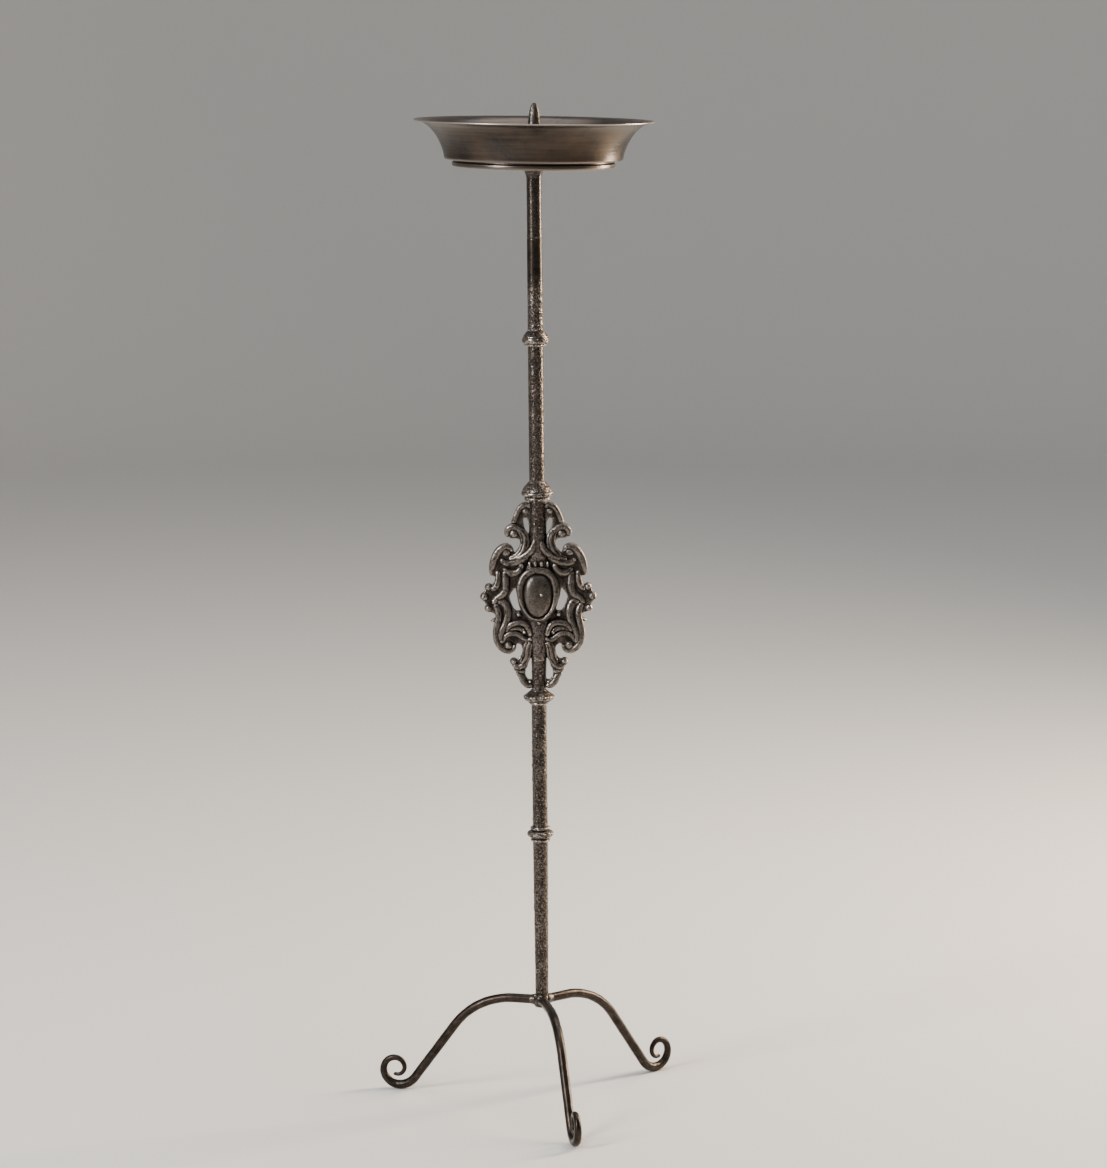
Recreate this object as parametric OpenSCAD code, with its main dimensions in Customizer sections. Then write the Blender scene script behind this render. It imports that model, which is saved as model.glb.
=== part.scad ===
// Tall iron candle stand: tripod of three scroll-footed legs, a stem of turned bars and knops
// with an openwork cast ornament, and a lift-off drip pan over a spike.
// Millimetres, +Z up. The origin is on the floor under the leg hub, and the ornament faces -Y.

/* [Legs] */
// Diameter of the round leg bar
leg_bar_d = 10; // [8:0.5:12]
// Height of the legs' axis where they enter the hub
leg_z = 108; // [95:1:125]
// Distance from the hub's axis to each foot's contact: front, right, left
leg_reach = [168, 161, 157.5];
// Direction of each leg, in degrees turned from -Y towards +X: front, right, left
leg_angle = [11.5, 130, 256.4];
// Slope of each leg's straight shin below the horizontal
leg_slope = 54; // [45:1:62]
// Bend radius of the shoulder, at the bar's axis
shoulder_bend = 80; // [60:1:90]
// Bend radius of the ankle, at the bar's axis
ankle_bend = 22; // [18:1:30]
// Radius of the scroll where it leaves the floor
scroll_r = 18.5; // [15:0.5:22]
// How far each scroll foot turns past the floor contact, in degrees
scroll_turn = 395; // [300:5:420]
// Diameter of the bar near the scroll's tip
scroll_tip_d = 4.6; // [3:0.2:6]
// How much of each foot is worn flat, measured up from the floor
foot_flat = 0.4; // [0.2:0.1:0.8]

/* [Hub] */
// Diameter of the hub
hub_d = 19; // [18:0.5:24]
// Height of the hub's straight part
hub_h = 14; // [12:0.5:18]
// Height of the hub's cone above the straight part
hub_cone_h = 3; // [2:0.5:6]

/* [Stem] */
// Sideways lean of the stem, to -X at the top, in degrees
stem_lean = 0.53; // [0:0.01:1]
// Diameter of the stem bars
stem_d = 16; // [14:0.5:18]
// Diameter of the lower bar at the hub
stem_foot_d = 13.8; // [12:0.1:16]
// Diameter of the tenons that join the bars to the knops
tenon_d = 10; // [8:0.5:11]
// Bottom of the lower knop
lower_knop_z = 279.9; // [250:0.1:300]
// Bottom of the knop under the ornament
foot_knop_z = 426.4; // [400:0.1:440]
// Bottom of the ornament's bar, on the foot knop
ornament_low_z = 441.4; // [438:0.1:445]
// Top of the ornament's bar, under the head knop
ornament_top_z = 640; // [630:0.1:650]
// Bottom of the thin washer under the upper knop
washer_z = 800; // [790:0.1:810]
// Joint line between the top bar and the head sleeve
sleeve_z = 910.2; // [900:0.1:920]
// Top of the head sleeve, where the pan rests
seat_z = 989.9; // [980:0.1:1000]

/* [Ornament] */
// Height of the middle of the openwork casting
casting_z = 538.5; // [534:0.5:543]
// Height of the middle of the oval boss
boss_z = 541; // [536:0.5:545]
// Diameter of the bar inside the ornament
ornament_bar_d = 14.8; // [13:0.1:16]
// Half width of the oval boss
boss_w = 14.2; // [12:0.1:16]
// Height of the boss above and below its middle
boss_h = 22; // [19:0.5:24]
// How far the boss's crown stands out from the stem's axis
boss_crown = 16.5; // [14:0.5:20]
// How far the shield's flat face stands out from the stem's axis
shield_face = 10; // [9.5:0.5:13]
// Diameter of the rivet through the bosses
rivet_d = 2.6; // [2.2:0.1:4]
// Sideways place of the rivet, towards +X
rivet_x = 3.5; // [0:0.5:4]
// Height of the rivet above the middle of the boss
rivet_up = 2; // [0:0.5:4]
// Half thickness of the casting's web between the scrolls
web_half = 3.2; // [2.5:0.1:4.5]

/* [Pan] */
// Sideways roll of the pan and spike, down towards +X, in degrees
head_roll = 0.69; // [0:0.01:1.5]
// Outer radius of the pan's lip
pan_r = 122.3; // [110:0.1:135]
// Outer radius of the bowl's bottom edge
pan_base_r = 91; // [80:0.5:95]
// Height of the underside of the lip above the underside of the pan
pan_h = 38.8; // [34:0.1:46]
// Thickness of the pan's sheet
pan_t = 2; // [1.5:0.1:3]
// Thickness of the pan's lip
lip_t = 1.4; // [1:0.1:2]
// Radius of the pan's hole
pan_hole_r = 7.2; // [7:0.1:9]
// Outer radius of the foot ring
ring_r = 83.3; // [76:0.1:84]
// Height of the foot ring
ring_h = 7.4; // [6:0.1:9]
// Radial width of the foot ring
ring_w = 9; // [6:0.5:14]

/* [Spike] */
// Diameter of the spike's straight part
spike_d = 13; // [11:0.5:13.5]
// Height of the spike's tip above the pan's floor
spike_h = 56; // [48:0.5:70]
// Length of the spike's straight part
spike_straight = 30; // [20:1:34]

/* [Hidden] */

iron = [0.16, 0.145, 0.13];
iron_worn = [0.22, 0.2, 0.18];
pan_iron = [0.24, 0.21, 0.18];

// Gap on the radius between a tenon or rivet and its bore
fit = 0.05;
tenon_r = tenon_d / 2;
bore_r = tenon_r + fit;
stem_r = stem_d / 2;
bar_r = leg_bar_d / 2;
// Gap left between the two tenons that meet inside a knop
tenon_gap = 1;

// Hub: its height range, the stem's tenon in it, and the legs' seats and tenons
hub_r = hub_d / 2;
hub_low_z = leg_z - hub_h / 2;
hub_top_z = leg_z + hub_h / 2 + hub_cone_h;
foot_tenon_r = 4.2;
leg_root = hub_r - 1.5;
leg_tenon_r = 3.4;
leg_tenon_end = foot_tenon_r + 0.4;

// Heights of the turned knops and of the levels where tenons meet in them
lower_knop_h = 15.3;
lower_meet_z = lower_knop_z + 7.6;
foot_knop_h = ornament_low_z - foot_knop_z;
foot_meet_z = foot_knop_z + 7.5;
head_knop_h = 20;
head_knop_top_z = ornament_top_z + head_knop_h;
head_meet_z = ornament_top_z + 10;
washer_h = 2;
upper_knop_z = washer_z + washer_h;
upper_knop_h = 13.5;
upper_meet_z = upper_knop_z + 5;

// Head sleeve: the depths of its lower and upper bores, and the pricket's shank
sleeve_bore = 35;
shank_r = 4.9;
shank_len = 26;

// Sides of the round bars and of the ornament's strands that are swept along a curve
LEG_SIDES = 12;
STRAND_SIDES = 8;

// Frames

// The stem's frame leans from the middle of the hub
module on_stem(z = 0) {
    translate([0, 0, leg_z]) rotate([0, -stem_lean, 0]) translate([0, 0, z - leg_z]) children();
}

// The pan's frame is on the stem's axis at the seat, rolled to the side
module on_seat() {
    on_stem(seat_z) rotate([0, stem_lean + head_roll, 0]) children();
}

// A solid swept through rings of points, closed at both ends. The rings turn right-handed
// about the way they are swept.
module swept(rings) {
    sides = len(rings[0]);
    last = len(rings) - 1;
    walls = [for (i = [0 : last - 1]) for (j = [0 : sides - 1])
        let (k = (j + 1) % sides, a = i * sides + j, b = i * sides + k)
        each [[a, b + sides, b], [a, a + sides, b + sides]]];
    start_cap = [for (j = [0 : sides - 1]) j];
    end_cap = [for (j = [sides - 1 : -1 : 0]) last * sides + j];
    polyhedron(points = [for (r = rings) each r], faces = concat([start_cap], walls, [end_cap]),
        convexity = 10);
}

// Legs

// The scroll tightens steadily: its radius shrinks by this share in each radian
scroll_rate = 0.15;
function spiral_out(a) =
    (exp(-scroll_rate * a * PI / 180) * (sin(a) - scroll_rate * cos(a)) + scroll_rate)
    / (1 + scroll_rate * scroll_rate);
function spiral_up(a) =
    (1 - exp(-scroll_rate * a * PI / 180) * (cos(a) + scroll_rate * sin(a)))
    / (1 + scroll_rate * scroll_rate);

// The bar's radius in the scroll, from the floor contact to the rounded tip
function scroll_bar_r(s) =
    (s > 0.99 ? 0.45 : 1) * (bar_r + (scroll_tip_d / 2 - bar_r) * pow(s, 0.8));

// Stations along a leg, each [distance out, height, heading, radius of the bar]
function leg_stations(reach) =
    let (
        contact_z = bar_r - foot_flat,
        shoulder_drop = shoulder_bend * (1 - cos(leg_slope)),
        ankle_rise = ankle_bend * (1 - cos(leg_slope)),
        shin_run = (leg_z - shoulder_drop - contact_z - ankle_rise) / tan(leg_slope),
        shoulder_x = reach - (shoulder_bend + ankle_bend) * sin(leg_slope) - shin_run
    )
    concat(
        [[leg_root, leg_z, 0, bar_r]],
        [for (i = [0 : 9]) let (a = leg_slope * i / 9)
            [shoulder_x + shoulder_bend * sin(a), leg_z - shoulder_bend * (1 - cos(a)), -a, bar_r]],
        [for (i = [0 : 4]) let (a = leg_slope * (5 - i) / 5)
            [reach - ankle_bend * sin(a), contact_z + ankle_bend * (1 - cos(a)), -a, bar_r]],
        [for (i = [0 : 30]) let (s = i / 30, a = scroll_turn * s)
            [reach + scroll_r * spiral_out(a), contact_z + scroll_r * spiral_up(a), a, scroll_bar_r(s)]]
    );

module leg(i) {
    rings = [for (s = leg_stations(leg_reach[i])) [for (j = [0 : LEG_SIDES - 1])
        let (t = 360 * j / LEG_SIDES)
        [-s[3] * sin(t), s[3] * cos(t) * sin(s[2]) - s[0], s[1] + s[3] * cos(t) * cos(s[2])]]];
    color(iron_worn) rotate([0, 0, leg_angle[i]]) {
        difference() {
            swept(rings);
            translate([-20, -leg_reach[i] - 40, -10]) cube([40, 80, 10]);
        }
        translate([0, -leg_tenon_end, leg_z]) rotate([90, 0, 0])
            cylinder(r = leg_tenon_r, h = leg_root + 0.5 - leg_tenon_end, $fn = 48);
    }
}

module leg_front() { leg(0); }
module leg_right() { leg(1); }
module leg_left() { leg(2); }

module leg_hub() {
    color(iron) difference() {
        rotate_extrude($fn = 64) polygon([[0, hub_low_z], [hub_r - 2, hub_low_z], [hub_r, hub_low_z + 2],
            [hub_r, hub_top_z - hub_cone_h - 1], [hub_r - 0.8, hub_top_z - hub_cone_h],
            [stem_foot_d / 2 + 0.8, hub_top_z], [0, hub_top_z]]);
        on_stem(hub_low_z - 5) cylinder(r = foot_tenon_r + fit, h = hub_h + 20, $fn = 48);
        for (a = leg_angle) rotate([0, 0, a]) translate([0, 0, leg_z]) rotate([90, 0, 0]) {
            cylinder(r = leg_tenon_r + fit, h = hub_d, $fn = 48);
            translate([0, 0, leg_root]) cylinder(r = bar_r + fit, h = hub_d, $fn = 48);
        }
    }
}

// Stem

// A length of bar between two heights, with a tenon beyond each end
module bar(low, high, low_r, high_r, tenon_low, tenon_high, low_tenon_r = tenon_r) {
    color(iron) on_stem() rotate_extrude($fn = 64) polygon([[0, tenon_low], [low_tenon_r, tenon_low],
        [low_tenon_r, low], [low_r, low], [high_r, high], [tenon_r, high], [tenon_r, tenon_high],
        [0, tenon_high]]);
}

module lower_stem() {
    bar(hub_top_z + 0.1, lower_knop_z, stem_foot_d / 2, stem_r, hub_low_z,
        lower_meet_z - tenon_gap / 2, low_tenon_r = foot_tenon_r);
}

module middle_stem() {
    bar(lower_knop_z + lower_knop_h, foot_knop_z, stem_r, stem_r,
        lower_meet_z + tenon_gap / 2, foot_meet_z - tenon_gap / 2);
}

module upper_stem() {
    bar(head_knop_top_z, washer_z, stem_r, stem_r,
        head_meet_z + tenon_gap / 2, upper_meet_z - tenon_gap / 2);
}

module top_stem() {
    bar(upper_knop_z + upper_knop_h, sleeve_z, stem_r, stem_r - 0.2,
        upper_meet_z + tenon_gap / 2, sleeve_z + sleeve_bore - 1);
}

// A turned knop: its outline is [radius, height] from the bottom up, bored for the tenons
module knop(z, outline) {
    height = outline[len(outline) - 1][1];
    color(iron) on_stem(z) rotate_extrude($fn = 64)
        polygon(concat([[bore_r, 0]], outline, [[bore_r, height]]));
}

// A rounded band on a knop, from its lower to its upper height
function band(r, low, high, bulge, steps = 6) =
    [for (i = [0 : steps]) let (a = 180 * i / steps - 90)
        [r + bulge * cos(a), (low + high) / 2 + (high - low) / 2 * sin(a)]];

module lower_knop() {
    knop(lower_knop_z, concat(band(9.4, 0, 2.2, 1), [[8.8, 3.2]], band(9.6, 4, 11.2, 4.4, 12),
        [[9, 11.6]], band(9.4, 12, lower_knop_h, 1.1)));
}

module foot_knop() {
    knop(foot_knop_z, concat(band(10.2, 0, 2, 0.8), [[10.8, 2.4], [13, 3], [15.2, 4.6]],
        band(15.7, 5.2, 8.6, 0.6), [[12.4, 11], [9.6, 13.2], [8, foot_knop_h]]));
}

module head_knop() {
    knop(ornament_top_z, concat([[12.8, 0]], band(12.9, 0.3, 3.2, 0.5), [[12.4, 3.6], [15.2, 4.4]],
        band(15.8, 5, 8.8, 0.7), [[15.4, 11], [13.6, 14], [11, 16.8], [8.3, head_knop_h]]));
}

module upper_knop() {
    knop(upper_knop_z, concat([[11.6, 0], [12.4, 0.6]], band(13.2, 1.2, 6.2, 0.85),
        [[12.8, 7.8], [10.9, 10.5], [8.4, upper_knop_h]]));
}

module knop_washer() {
    knop(washer_z, band(11, 0, washer_h, 0.7));
}

module head_sleeve() {
    head = seat_z - sleeve_z;
    flange_r = 17;
    flare = [[8.2, 15.5], [9.4, 12], [11.4, 8], [14.2, 4.8], [flange_r, 3.2], [flange_r, 1.6], [0, 1.6]];
    color(iron_worn) difference() {
        union() {
            on_stem(sleeve_z) rotate_extrude($fn = 64) polygon(concat(
                [[0, 0], [stem_r - 0.1, 0], [stem_r - 0.4, 8], [stem_r - 0.4, head - 19]],
                [for (p = flare) [p[0], head - p[1]]]));
            on_seat() translate([0, 0, -2.4]) cylinder(r = flange_r - 0.5, h = 2.4, $fn = 64);
        }
        on_stem(sleeve_z - 1) cylinder(r = bore_r, h = sleeve_bore + 1, $fn = 48);
        on_seat() translate([0, 0, -shank_len - 1]) cylinder(r = shank_r + fit, h = 40, $fn = 48);
    }
}

// Ornament

module ornament_bar() {
    color(iron) difference() {
        on_stem() rotate_extrude($fn = 64) polygon([[0, foot_meet_z + tenon_gap / 2],
            [tenon_r, foot_meet_z + tenon_gap / 2], [tenon_r, ornament_low_z],
            [ornament_bar_d / 2, ornament_low_z], [ornament_bar_d / 2, ornament_top_z],
            [tenon_r, ornament_top_z], [tenon_r, head_meet_z - tenon_gap / 2],
            [0, head_meet_z - tenon_gap / 2]]);
        on_stem(boss_z) rivet_hole(rivet_d / 2 + fit);
    }
}

// Points of a strand are [distance from the middle, height, half width, half depth]
function curve_at(a, b, c, d, t) =
    0.5 * (2 * b + (c - a) * t + (2 * a - 5 * b + 4 * c - d) * t * t
        + (3 * b - a - 3 * c + d) * t * t * t);

// A smooth run of stations through the given points
function smooth(p, steps) =
    let (n = len(p) - 1)
    concat([for (i = [0 : n - 1]) for (j = [0 : steps - 1])
        curve_at(p[max(i - 1, 0)], p[i], p[i + 1], p[min(i + 2, n)], j / steps)], [p[n]]);

// A strand of oval section through the given points, in the plane of the ornament
module strand(p) {
    s = smooth(p, 2);
    last = len(s) - 1;
    swept([for (i = [0 : last])
        let (
            d = s[min(i + 1, last)] - s[max(i - 1, 0)],
            l = norm([d[0], d[1]])
        )
        [for (j = [0 : STRAND_SIDES - 1]) let (t = 360 * (j + 0.5) / STRAND_SIDES)
            [s[i][0] - d[1] / l * s[i][2] * cos(t), -s[i][3] * sin(t), s[i][1] + d[0] / l * s[i][2] * cos(t)]]]);
}

// A berry or a rounded knuckle, round from the front
module bead(x, z, r, depth) {
    hull() for (y = [-depth, depth]) translate([x, y, z]) sphere(r = r, $fn = 10);
}

// A flat plate on the casting's middle plane, or an opening through it
module plate(outline, half) {
    rotate([90, 0, 0]) linear_extrude(height = 2 * half, center = true, convexity = 6)
        polygon([for (p = smooth(outline, 2)) p]);
}

// The outline of the web on one side, from the neck down
web_outline = [[7, 96], [12.2, 98.5], [18.4, 95.8], [21.8, 88.3], [22.6, 82.4], [26.4, 79], [29, 74.8],
    [32.4, 72], [33, 67], [29.6, 62.4], [23, 62], [18.9, 59.4], [19.4, 53.4], [24.1, 47], [26.5, 53],
    [32.1, 56], [39.3, 54.4], [44.4, 47.2], [47.6, 34.7], [49.4, 24.2], [45.2, 22], [44, 17.4],
    [48.3, 13.6], [53.6, 11], [56.6, 5], [57.6, -2], [54, -8.4], [52, -14.4], [45.9, -17],
    [44.8, -22], [46, -28.6], [45.4, -37.4], [42.6, -47.4], [37.8, -55.4], [30.4, -57.4], [25.2, -54],
    [22.4, -48.6], [17.9, -51.6], [17.6, -59], [22, -64.5], [28, -66], [28.6, -70], [25.4, -75],
    [22, -79], [21, -82.6], [18.9, -89.3], [14.8, -93.8], [9.8, -94.5], [7, -91]];

// The openwork of one side, drawn to +X with heights from the middle of the casting
module scrollwork() {
    difference() {
        plate(web_outline, web_half);
        plate([[24.1, 10.5], [29.8, 1.8], [28.6, -5], [25, -12.4], [20.2, -14.6], [18.5, -10.9],
            [21.8, -0.5]], 20);
        plate([[11.6, 83.2], [14.6, 82.4], [14.2, 74.9], [10.6, 64.5], [9, 64.5], [9.2, 78.2]], 20);
        plate([[8, -62.5], [10.6, -67.5], [12.4, -73.2], [14.4, -77.9], [13.2, -84.3], [9, -87.3],
            [7.3, -84.3]], 20);
    }
    // small C-scroll beside the neck, with its eye and the knuckle at its foot
    strand([[23.8, 79.6, 2, 4.5], [21.8, 84.9, 2.2, 5], [19.8, 91.3, 2.3, 5], [15.9, 96.3, 2.3, 5],
        [11.6, 97.5, 2, 4.5], [8.6, 94.6, 1.5, 4]]);
    bead(13.2, 90.3, 4.2, 0.4);
    bead(24.8, 79.6, 2.5, 2);
    // hooked scroll below it, whose stem runs down to the crown
    strand([[31.4, 64.5, 1.7, 4], [31.4, 69.8, 2.3, 5], [27.5, 73.8, 2.8, 6], [21.8, 73.7, 2.8, 6],
        [16.5, 69.8, 2.8, 6.5], [13.8, 63.1, 2.8, 7], [13.9, 56.1, 3, 7], [17.5, 49.2, 3, 7],
        [23, 43.9, 2.7, 6.5], [28.8, 40.5, 2, 6]]);
    bead(26, 67.4, 5, 0.4);
    // large upper volute, which runs out into a leaf tip
    strand([[49, 24.4, 1.2, 3], [47.2, 33, 2.3, 5], [44.9, 43, 2.8, 6], [40.6, 50.4, 3, 6.5],
        [34.2, 53.8, 2.7, 6.5], [28.6, 52, 2, 5.5], [27, 47.7, 1.3, 4.5]]);
    bead(33.1, 48, 4, 1.8);
    // crescent leaves under the volute
    strand([[13.9, 33, 2.3, 9], [16.4, 37.7, 2.7, 8.5], [22.2, 36.7, 2.5, 7.5], [28.8, 36, 2.3, 6.5],
        [34.6, 38.4, 2, 6], [37.7, 42.2, 1.3, 5]]);
    strand([[14.2, 29.3, 2.3, 9], [19.7, 26.3, 2.7, 8.5], [25.5, 25, 2.7, 7], [31.3, 27, 2.3, 6],
        [34.1, 30, 1.5, 5]]);
    // S-strands down to the waist, and the three berries
    strand([[32.1, 26.3, 2, 5], [31.8, 17.9, 2.8, 6.5], [32.4, 10.4, 3, 7], [36.7, 4.2, 2.8, 6.5],
        [42.7, -0.5, 2.3, 6], [46.1, -5.5, 2, 5.5]]);
    strand([[42.3, 28, 1.7, 4.5], [42, 19.6, 2.3, 5.5], [43.3, 11.6, 2.5, 6], [47, 9.2, 1.8, 5]]);
    bead(50.6, 10.4, 4.6, 1);
    bead(55.4, 0, 5, 1);
    bead(50.9, -11.9, 4.5, 1);
    // fluted leaf from the waist to the lower volute
    strand([[42, -3.9, 2, 5], [34.6, -4.2, 2.8, 6], [30.1, -10.6, 3, 7], [30.1, -18.1, 3, 7],
        [33.4, -26.5, 3, 7], [38.7, -34, 2.8, 7], [41, -41.5, 2.5, 6.5], [39.4, -48.2, 2, 6]]);
    strand([[45, -7.2, 2, 5], [40.7, -13.9, 2.7, 6], [40.4, -22.3, 2.8, 6.5], [43, -31.5, 2.8, 6.5],
        [43.8, -40.7, 2.7, 6.5], [41.3, -49.5, 2.7, 6.5], [35.4, -55.2, 2.5, 6], [28.8, -55, 2.2, 5.5],
        [25, -50.6, 1.5, 5]]);
    strand([[42, -23.1, 2, 5.5], [46.1, -24.3, 1.3, 4], [49.2, -24.5, 0.7, 2]]);
    bead(31.1, -50.4, 4.8, 2);
    // hooked leaves between the lower volute and the bar
    strand([[36.7, -46.6, 1.7, 5.5], [34.6, -39.9, 2.3, 6.5], [29.6, -36.5, 2.5, 7],
        [22.2, -35.3, 2.3, 7], [15.2, -37, 2.3, 7]]);
    strand([[33.4, -31.5, 2, 6], [28.4, -27, 2.5, 7], [21.8, -25, 2.7, 8], [14.7, -25.6, 2.7, 8.5],
        [9.9, -29.8, 2.7, 9], [8.6, -36.5, 2.5, 9], [9.8, -43.2, 2.2, 8]]);
    bead(15.2, -37, 3.2, 5);
    bead(21, -17.6, 4, 3.6);
    // small scroll below the lower volute
    strand([[6.9, -46.6, 2.7, 8.5], [9.9, -55.8, 3, 7.5], [13.2, -63.8, 3.2, 6.5],
        [18.5, -69.5, 3.2, 6], [24.6, -70, 2.5, 5]]);
    bead(25.3, -68.6, 4.4, 1);
    // lowest scroll, which curls in to the bar
    strand([[22.2, -80.9, 1.7, 4], [17.7, -84.3, 2.2, 4.5], [16.5, -90.1, 2.3, 5],
        [12.2, -92.6, 2.3, 5], [8.4, -90.1, 1.8, 4.5]]);
    bead(10.8, -89.6, 2.8, 1.6);
    bead(21.4, -80.6, 2, 1.6);
}

// A point on the outline of the shield and its boss, an egg with its blunt end up
function egg(a, w, h) = [w * cos(a) * (1 + 0.1 * sin(a)), h * sin(a)];
egg_steps = 24;

// An egg-shaped plate or dome: a stack of [distance out, scale] outlines
module egg_stack(stack, w, h) {
    swept([for (s = stack) [for (j = [0 : egg_steps - 1])
        let (e = egg(360 * j / egg_steps, w * s[1], h * s[1])) [e[0], -s[0], e[1]]]]);
}

// The solid middle of the casting: crown, shield and the leaf below it
module casting_middle() {
    shield_w = boss_w + 7;
    shield_h = boss_h + 6.8;
    band_out = 4.2;
    band_half = 2.9;
    hull() {
        translate([0, 0, 58]) cylinder(r = 8.8, h = 1, $fn = 24);
        translate([0, 0, 43]) scale([1.35, 0.95, 0.7]) sphere(r = 11, $fn = 24);
        translate([0, 0, 33]) scale([1.8, 1.1, 0.8]) sphere(r = 9, $fn = 24);
    }
    translate([0, 0, boss_z - casting_z]) {
        egg_stack([[-shield_face, 0.94], [-4, 1], [4, 1], [shield_face, 0.94]], shield_w, shield_h);
        for (turn = [0, 180])
            strand([for (i = [-1 : 9]) let (e = egg(turn + 180 * i / 8, boss_w + band_out, boss_h + band_out))
                [e[0], e[1], band_half, shield_face + 2.6]]);
    }
    hull() {
        translate([0, 0, -22]) scale([1.25, 0.95, 0.8]) sphere(r = 10, $fn = 24);
        translate([0, 0, -40]) scale([1, 1, 0.6]) sphere(r = 9.6, $fn = 24);
        translate([0, 0, -58]) cylinder(r = 8.6, h = 1, $fn = 24);
    }
}

// The hole for the rivet, in the boss's frame
module rivet_hole(r) {
    translate([rivet_x, 0, rivet_up]) rotate([90, 0, 0])
        cylinder(r = r, h = 60, center = true, $fn = 32);
}

// The front half of the casting, which ends just short of the middle plane
module casting_half() {
    halving = 0.05;
    reach = 110;
    difference() {
        union() {
            translate([0.5, 0, 0]) scrollwork();
            translate([0.5, 0, 0]) mirror([1, 0, 0]) scrollwork();
            casting_middle();
        }
        translate([-reach, -halving, -reach]) cube([2 * reach, 40, 2 * reach]);
        translate([0, 0, -reach]) cylinder(r = ornament_bar_d / 2 + 0.15, h = 2 * reach, $fn = 48);
        translate([0, 0, boss_z - casting_z]) rivet_hole(rivet_d / 2 + 0.3);
    }
}

module ornament_front() { color(iron) on_stem(casting_z) casting_half(); }
module ornament_back() { color(iron) on_stem(casting_z) mirror([0, 1, 0]) casting_half(); }

// The plain egg-shaped boss, with its back flat on the shield's face
module boss() {
    rise = boss_crown - shield_face;
    difference() {
        egg_stack(concat([for (i = [0 : 5]) let (a = 90 * i / 6)
            [shield_face + rise * sin(a), pow(cos(a), 0.7)]], [[boss_crown, 0.12]]), boss_w, boss_h);
        rivet_hole(rivet_d / 2 + fit);
    }
}

module boss_front() { color(iron_worn) on_stem(boss_z) boss(); }
module boss_back() { color(iron_worn) on_stem(boss_z) mirror([0, 1, 0]) boss(); }

module boss_rivet() {
    head_r = 2;
    head_h = 1;
    half = boss_crown;
    color(iron_worn) on_stem(boss_z) translate([rivet_x, 0, rivet_up]) rotate([90, 0, 0])
        rotate_extrude($fn = 32) polygon(concat([[0, -half - head_h]],
            [for (i = [1 : 4]) [head_r * sin(90 * i / 4), -half - head_h * cos(90 * i / 4)]],
            [[rivet_d / 2, -half], [rivet_d / 2, half]],
            [for (i = [4 : -1 : 1]) [head_r * sin(90 * i / 4), half + head_h * cos(90 * i / 4)]],
            [[0, half + head_h]]));
}

// Pan and spike

// The bowl's outer wall at a station from 0 at the base to 90 at the lip, and its inner wall
wall_lean = 6;
function wall_out(a) = [pan_base_r + wall_lean * sin(a)
    + (pan_r - pan_base_r - wall_lean) * (1 - cos(a)), pan_h * sin(a)];
function wall_in(a) =
    let (
        run = wall_lean * cos(a) + (pan_r - pan_base_r - wall_lean) * sin(a),
        rise = pan_h * cos(a),
        t = pan_t + (lip_t - pan_t) * a / 90
    )
    wall_out(a) + t / norm([run, rise]) * [-rise, run];

module drip_pan() {
    color(pan_iron) on_seat() rotate_extrude($fn = 128) polygon(concat(
        [[pan_hole_r, 0], [pan_base_r - 1.2, 0], [pan_base_r - 0.3, 0.4]],
        [for (i = [1 : 15]) wall_out(6 * i)],
        [[pan_r + 0.5, pan_h + lip_t / 2]],
        [for (i = [15 : -1 : 1]) wall_in(6 * i)],
        [[pan_base_r - 2.6, pan_t + 0.6], [pan_base_r - 4.4, pan_t], [pan_hole_r, pan_t]]));
}

module pan_foot_ring() {
    groove_r = ring_r - 2.8;
    inner_r = ring_r - ring_w;
    color(pan_iron) on_seat() rotate_extrude($fn = 128) polygon([[inner_r, -ring_h], [ring_r - 2, -ring_h],
        [ring_r - 0.7, 0.7 - ring_h], [ring_r, 2 - ring_h], [ring_r - 0.3, -3.6], [groove_r, -3.1],
        [groove_r, 0], [inner_r, 0]]);
}

module pricket() {
    spike_r = spike_d / 2;
    nose_z = pan_t + 0.4 + spike_straight;
    nose_h = pan_t + spike_h - nose_z;
    color(iron_worn) on_seat() rotate_extrude($fn = 48) polygon(concat(
        [[0, -shank_len], [shank_r, -shank_len], [shank_r, 0], [spike_r - 0.3, 0],
            [spike_r - 0.3, pan_t + 0.4], [spike_r, pan_t + 0.4]],
        [for (i = [0 : 9]) let (s = i / 10) [spike_r * sqrt(1 - pow(s, 2.2)), nose_z + nose_h * s]],
        [[1.6, nose_z + 0.975 * nose_h], [0, nose_z + nose_h]]));
}

leg_front();
leg_right();
leg_left();
leg_hub();
lower_stem();
lower_knop();
middle_stem();
foot_knop();
ornament_bar();
ornament_front();
ornament_back();
boss_front();
boss_back();
boss_rivet();
head_knop();
upper_stem();
knop_washer();
upper_knop();
top_stem();
head_sleeve();
drip_pan();
pan_foot_ring();
pricket();
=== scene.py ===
import math

import bmesh
import bpy
import numpy as np
from mathutils import Matrix, Vector


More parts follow.
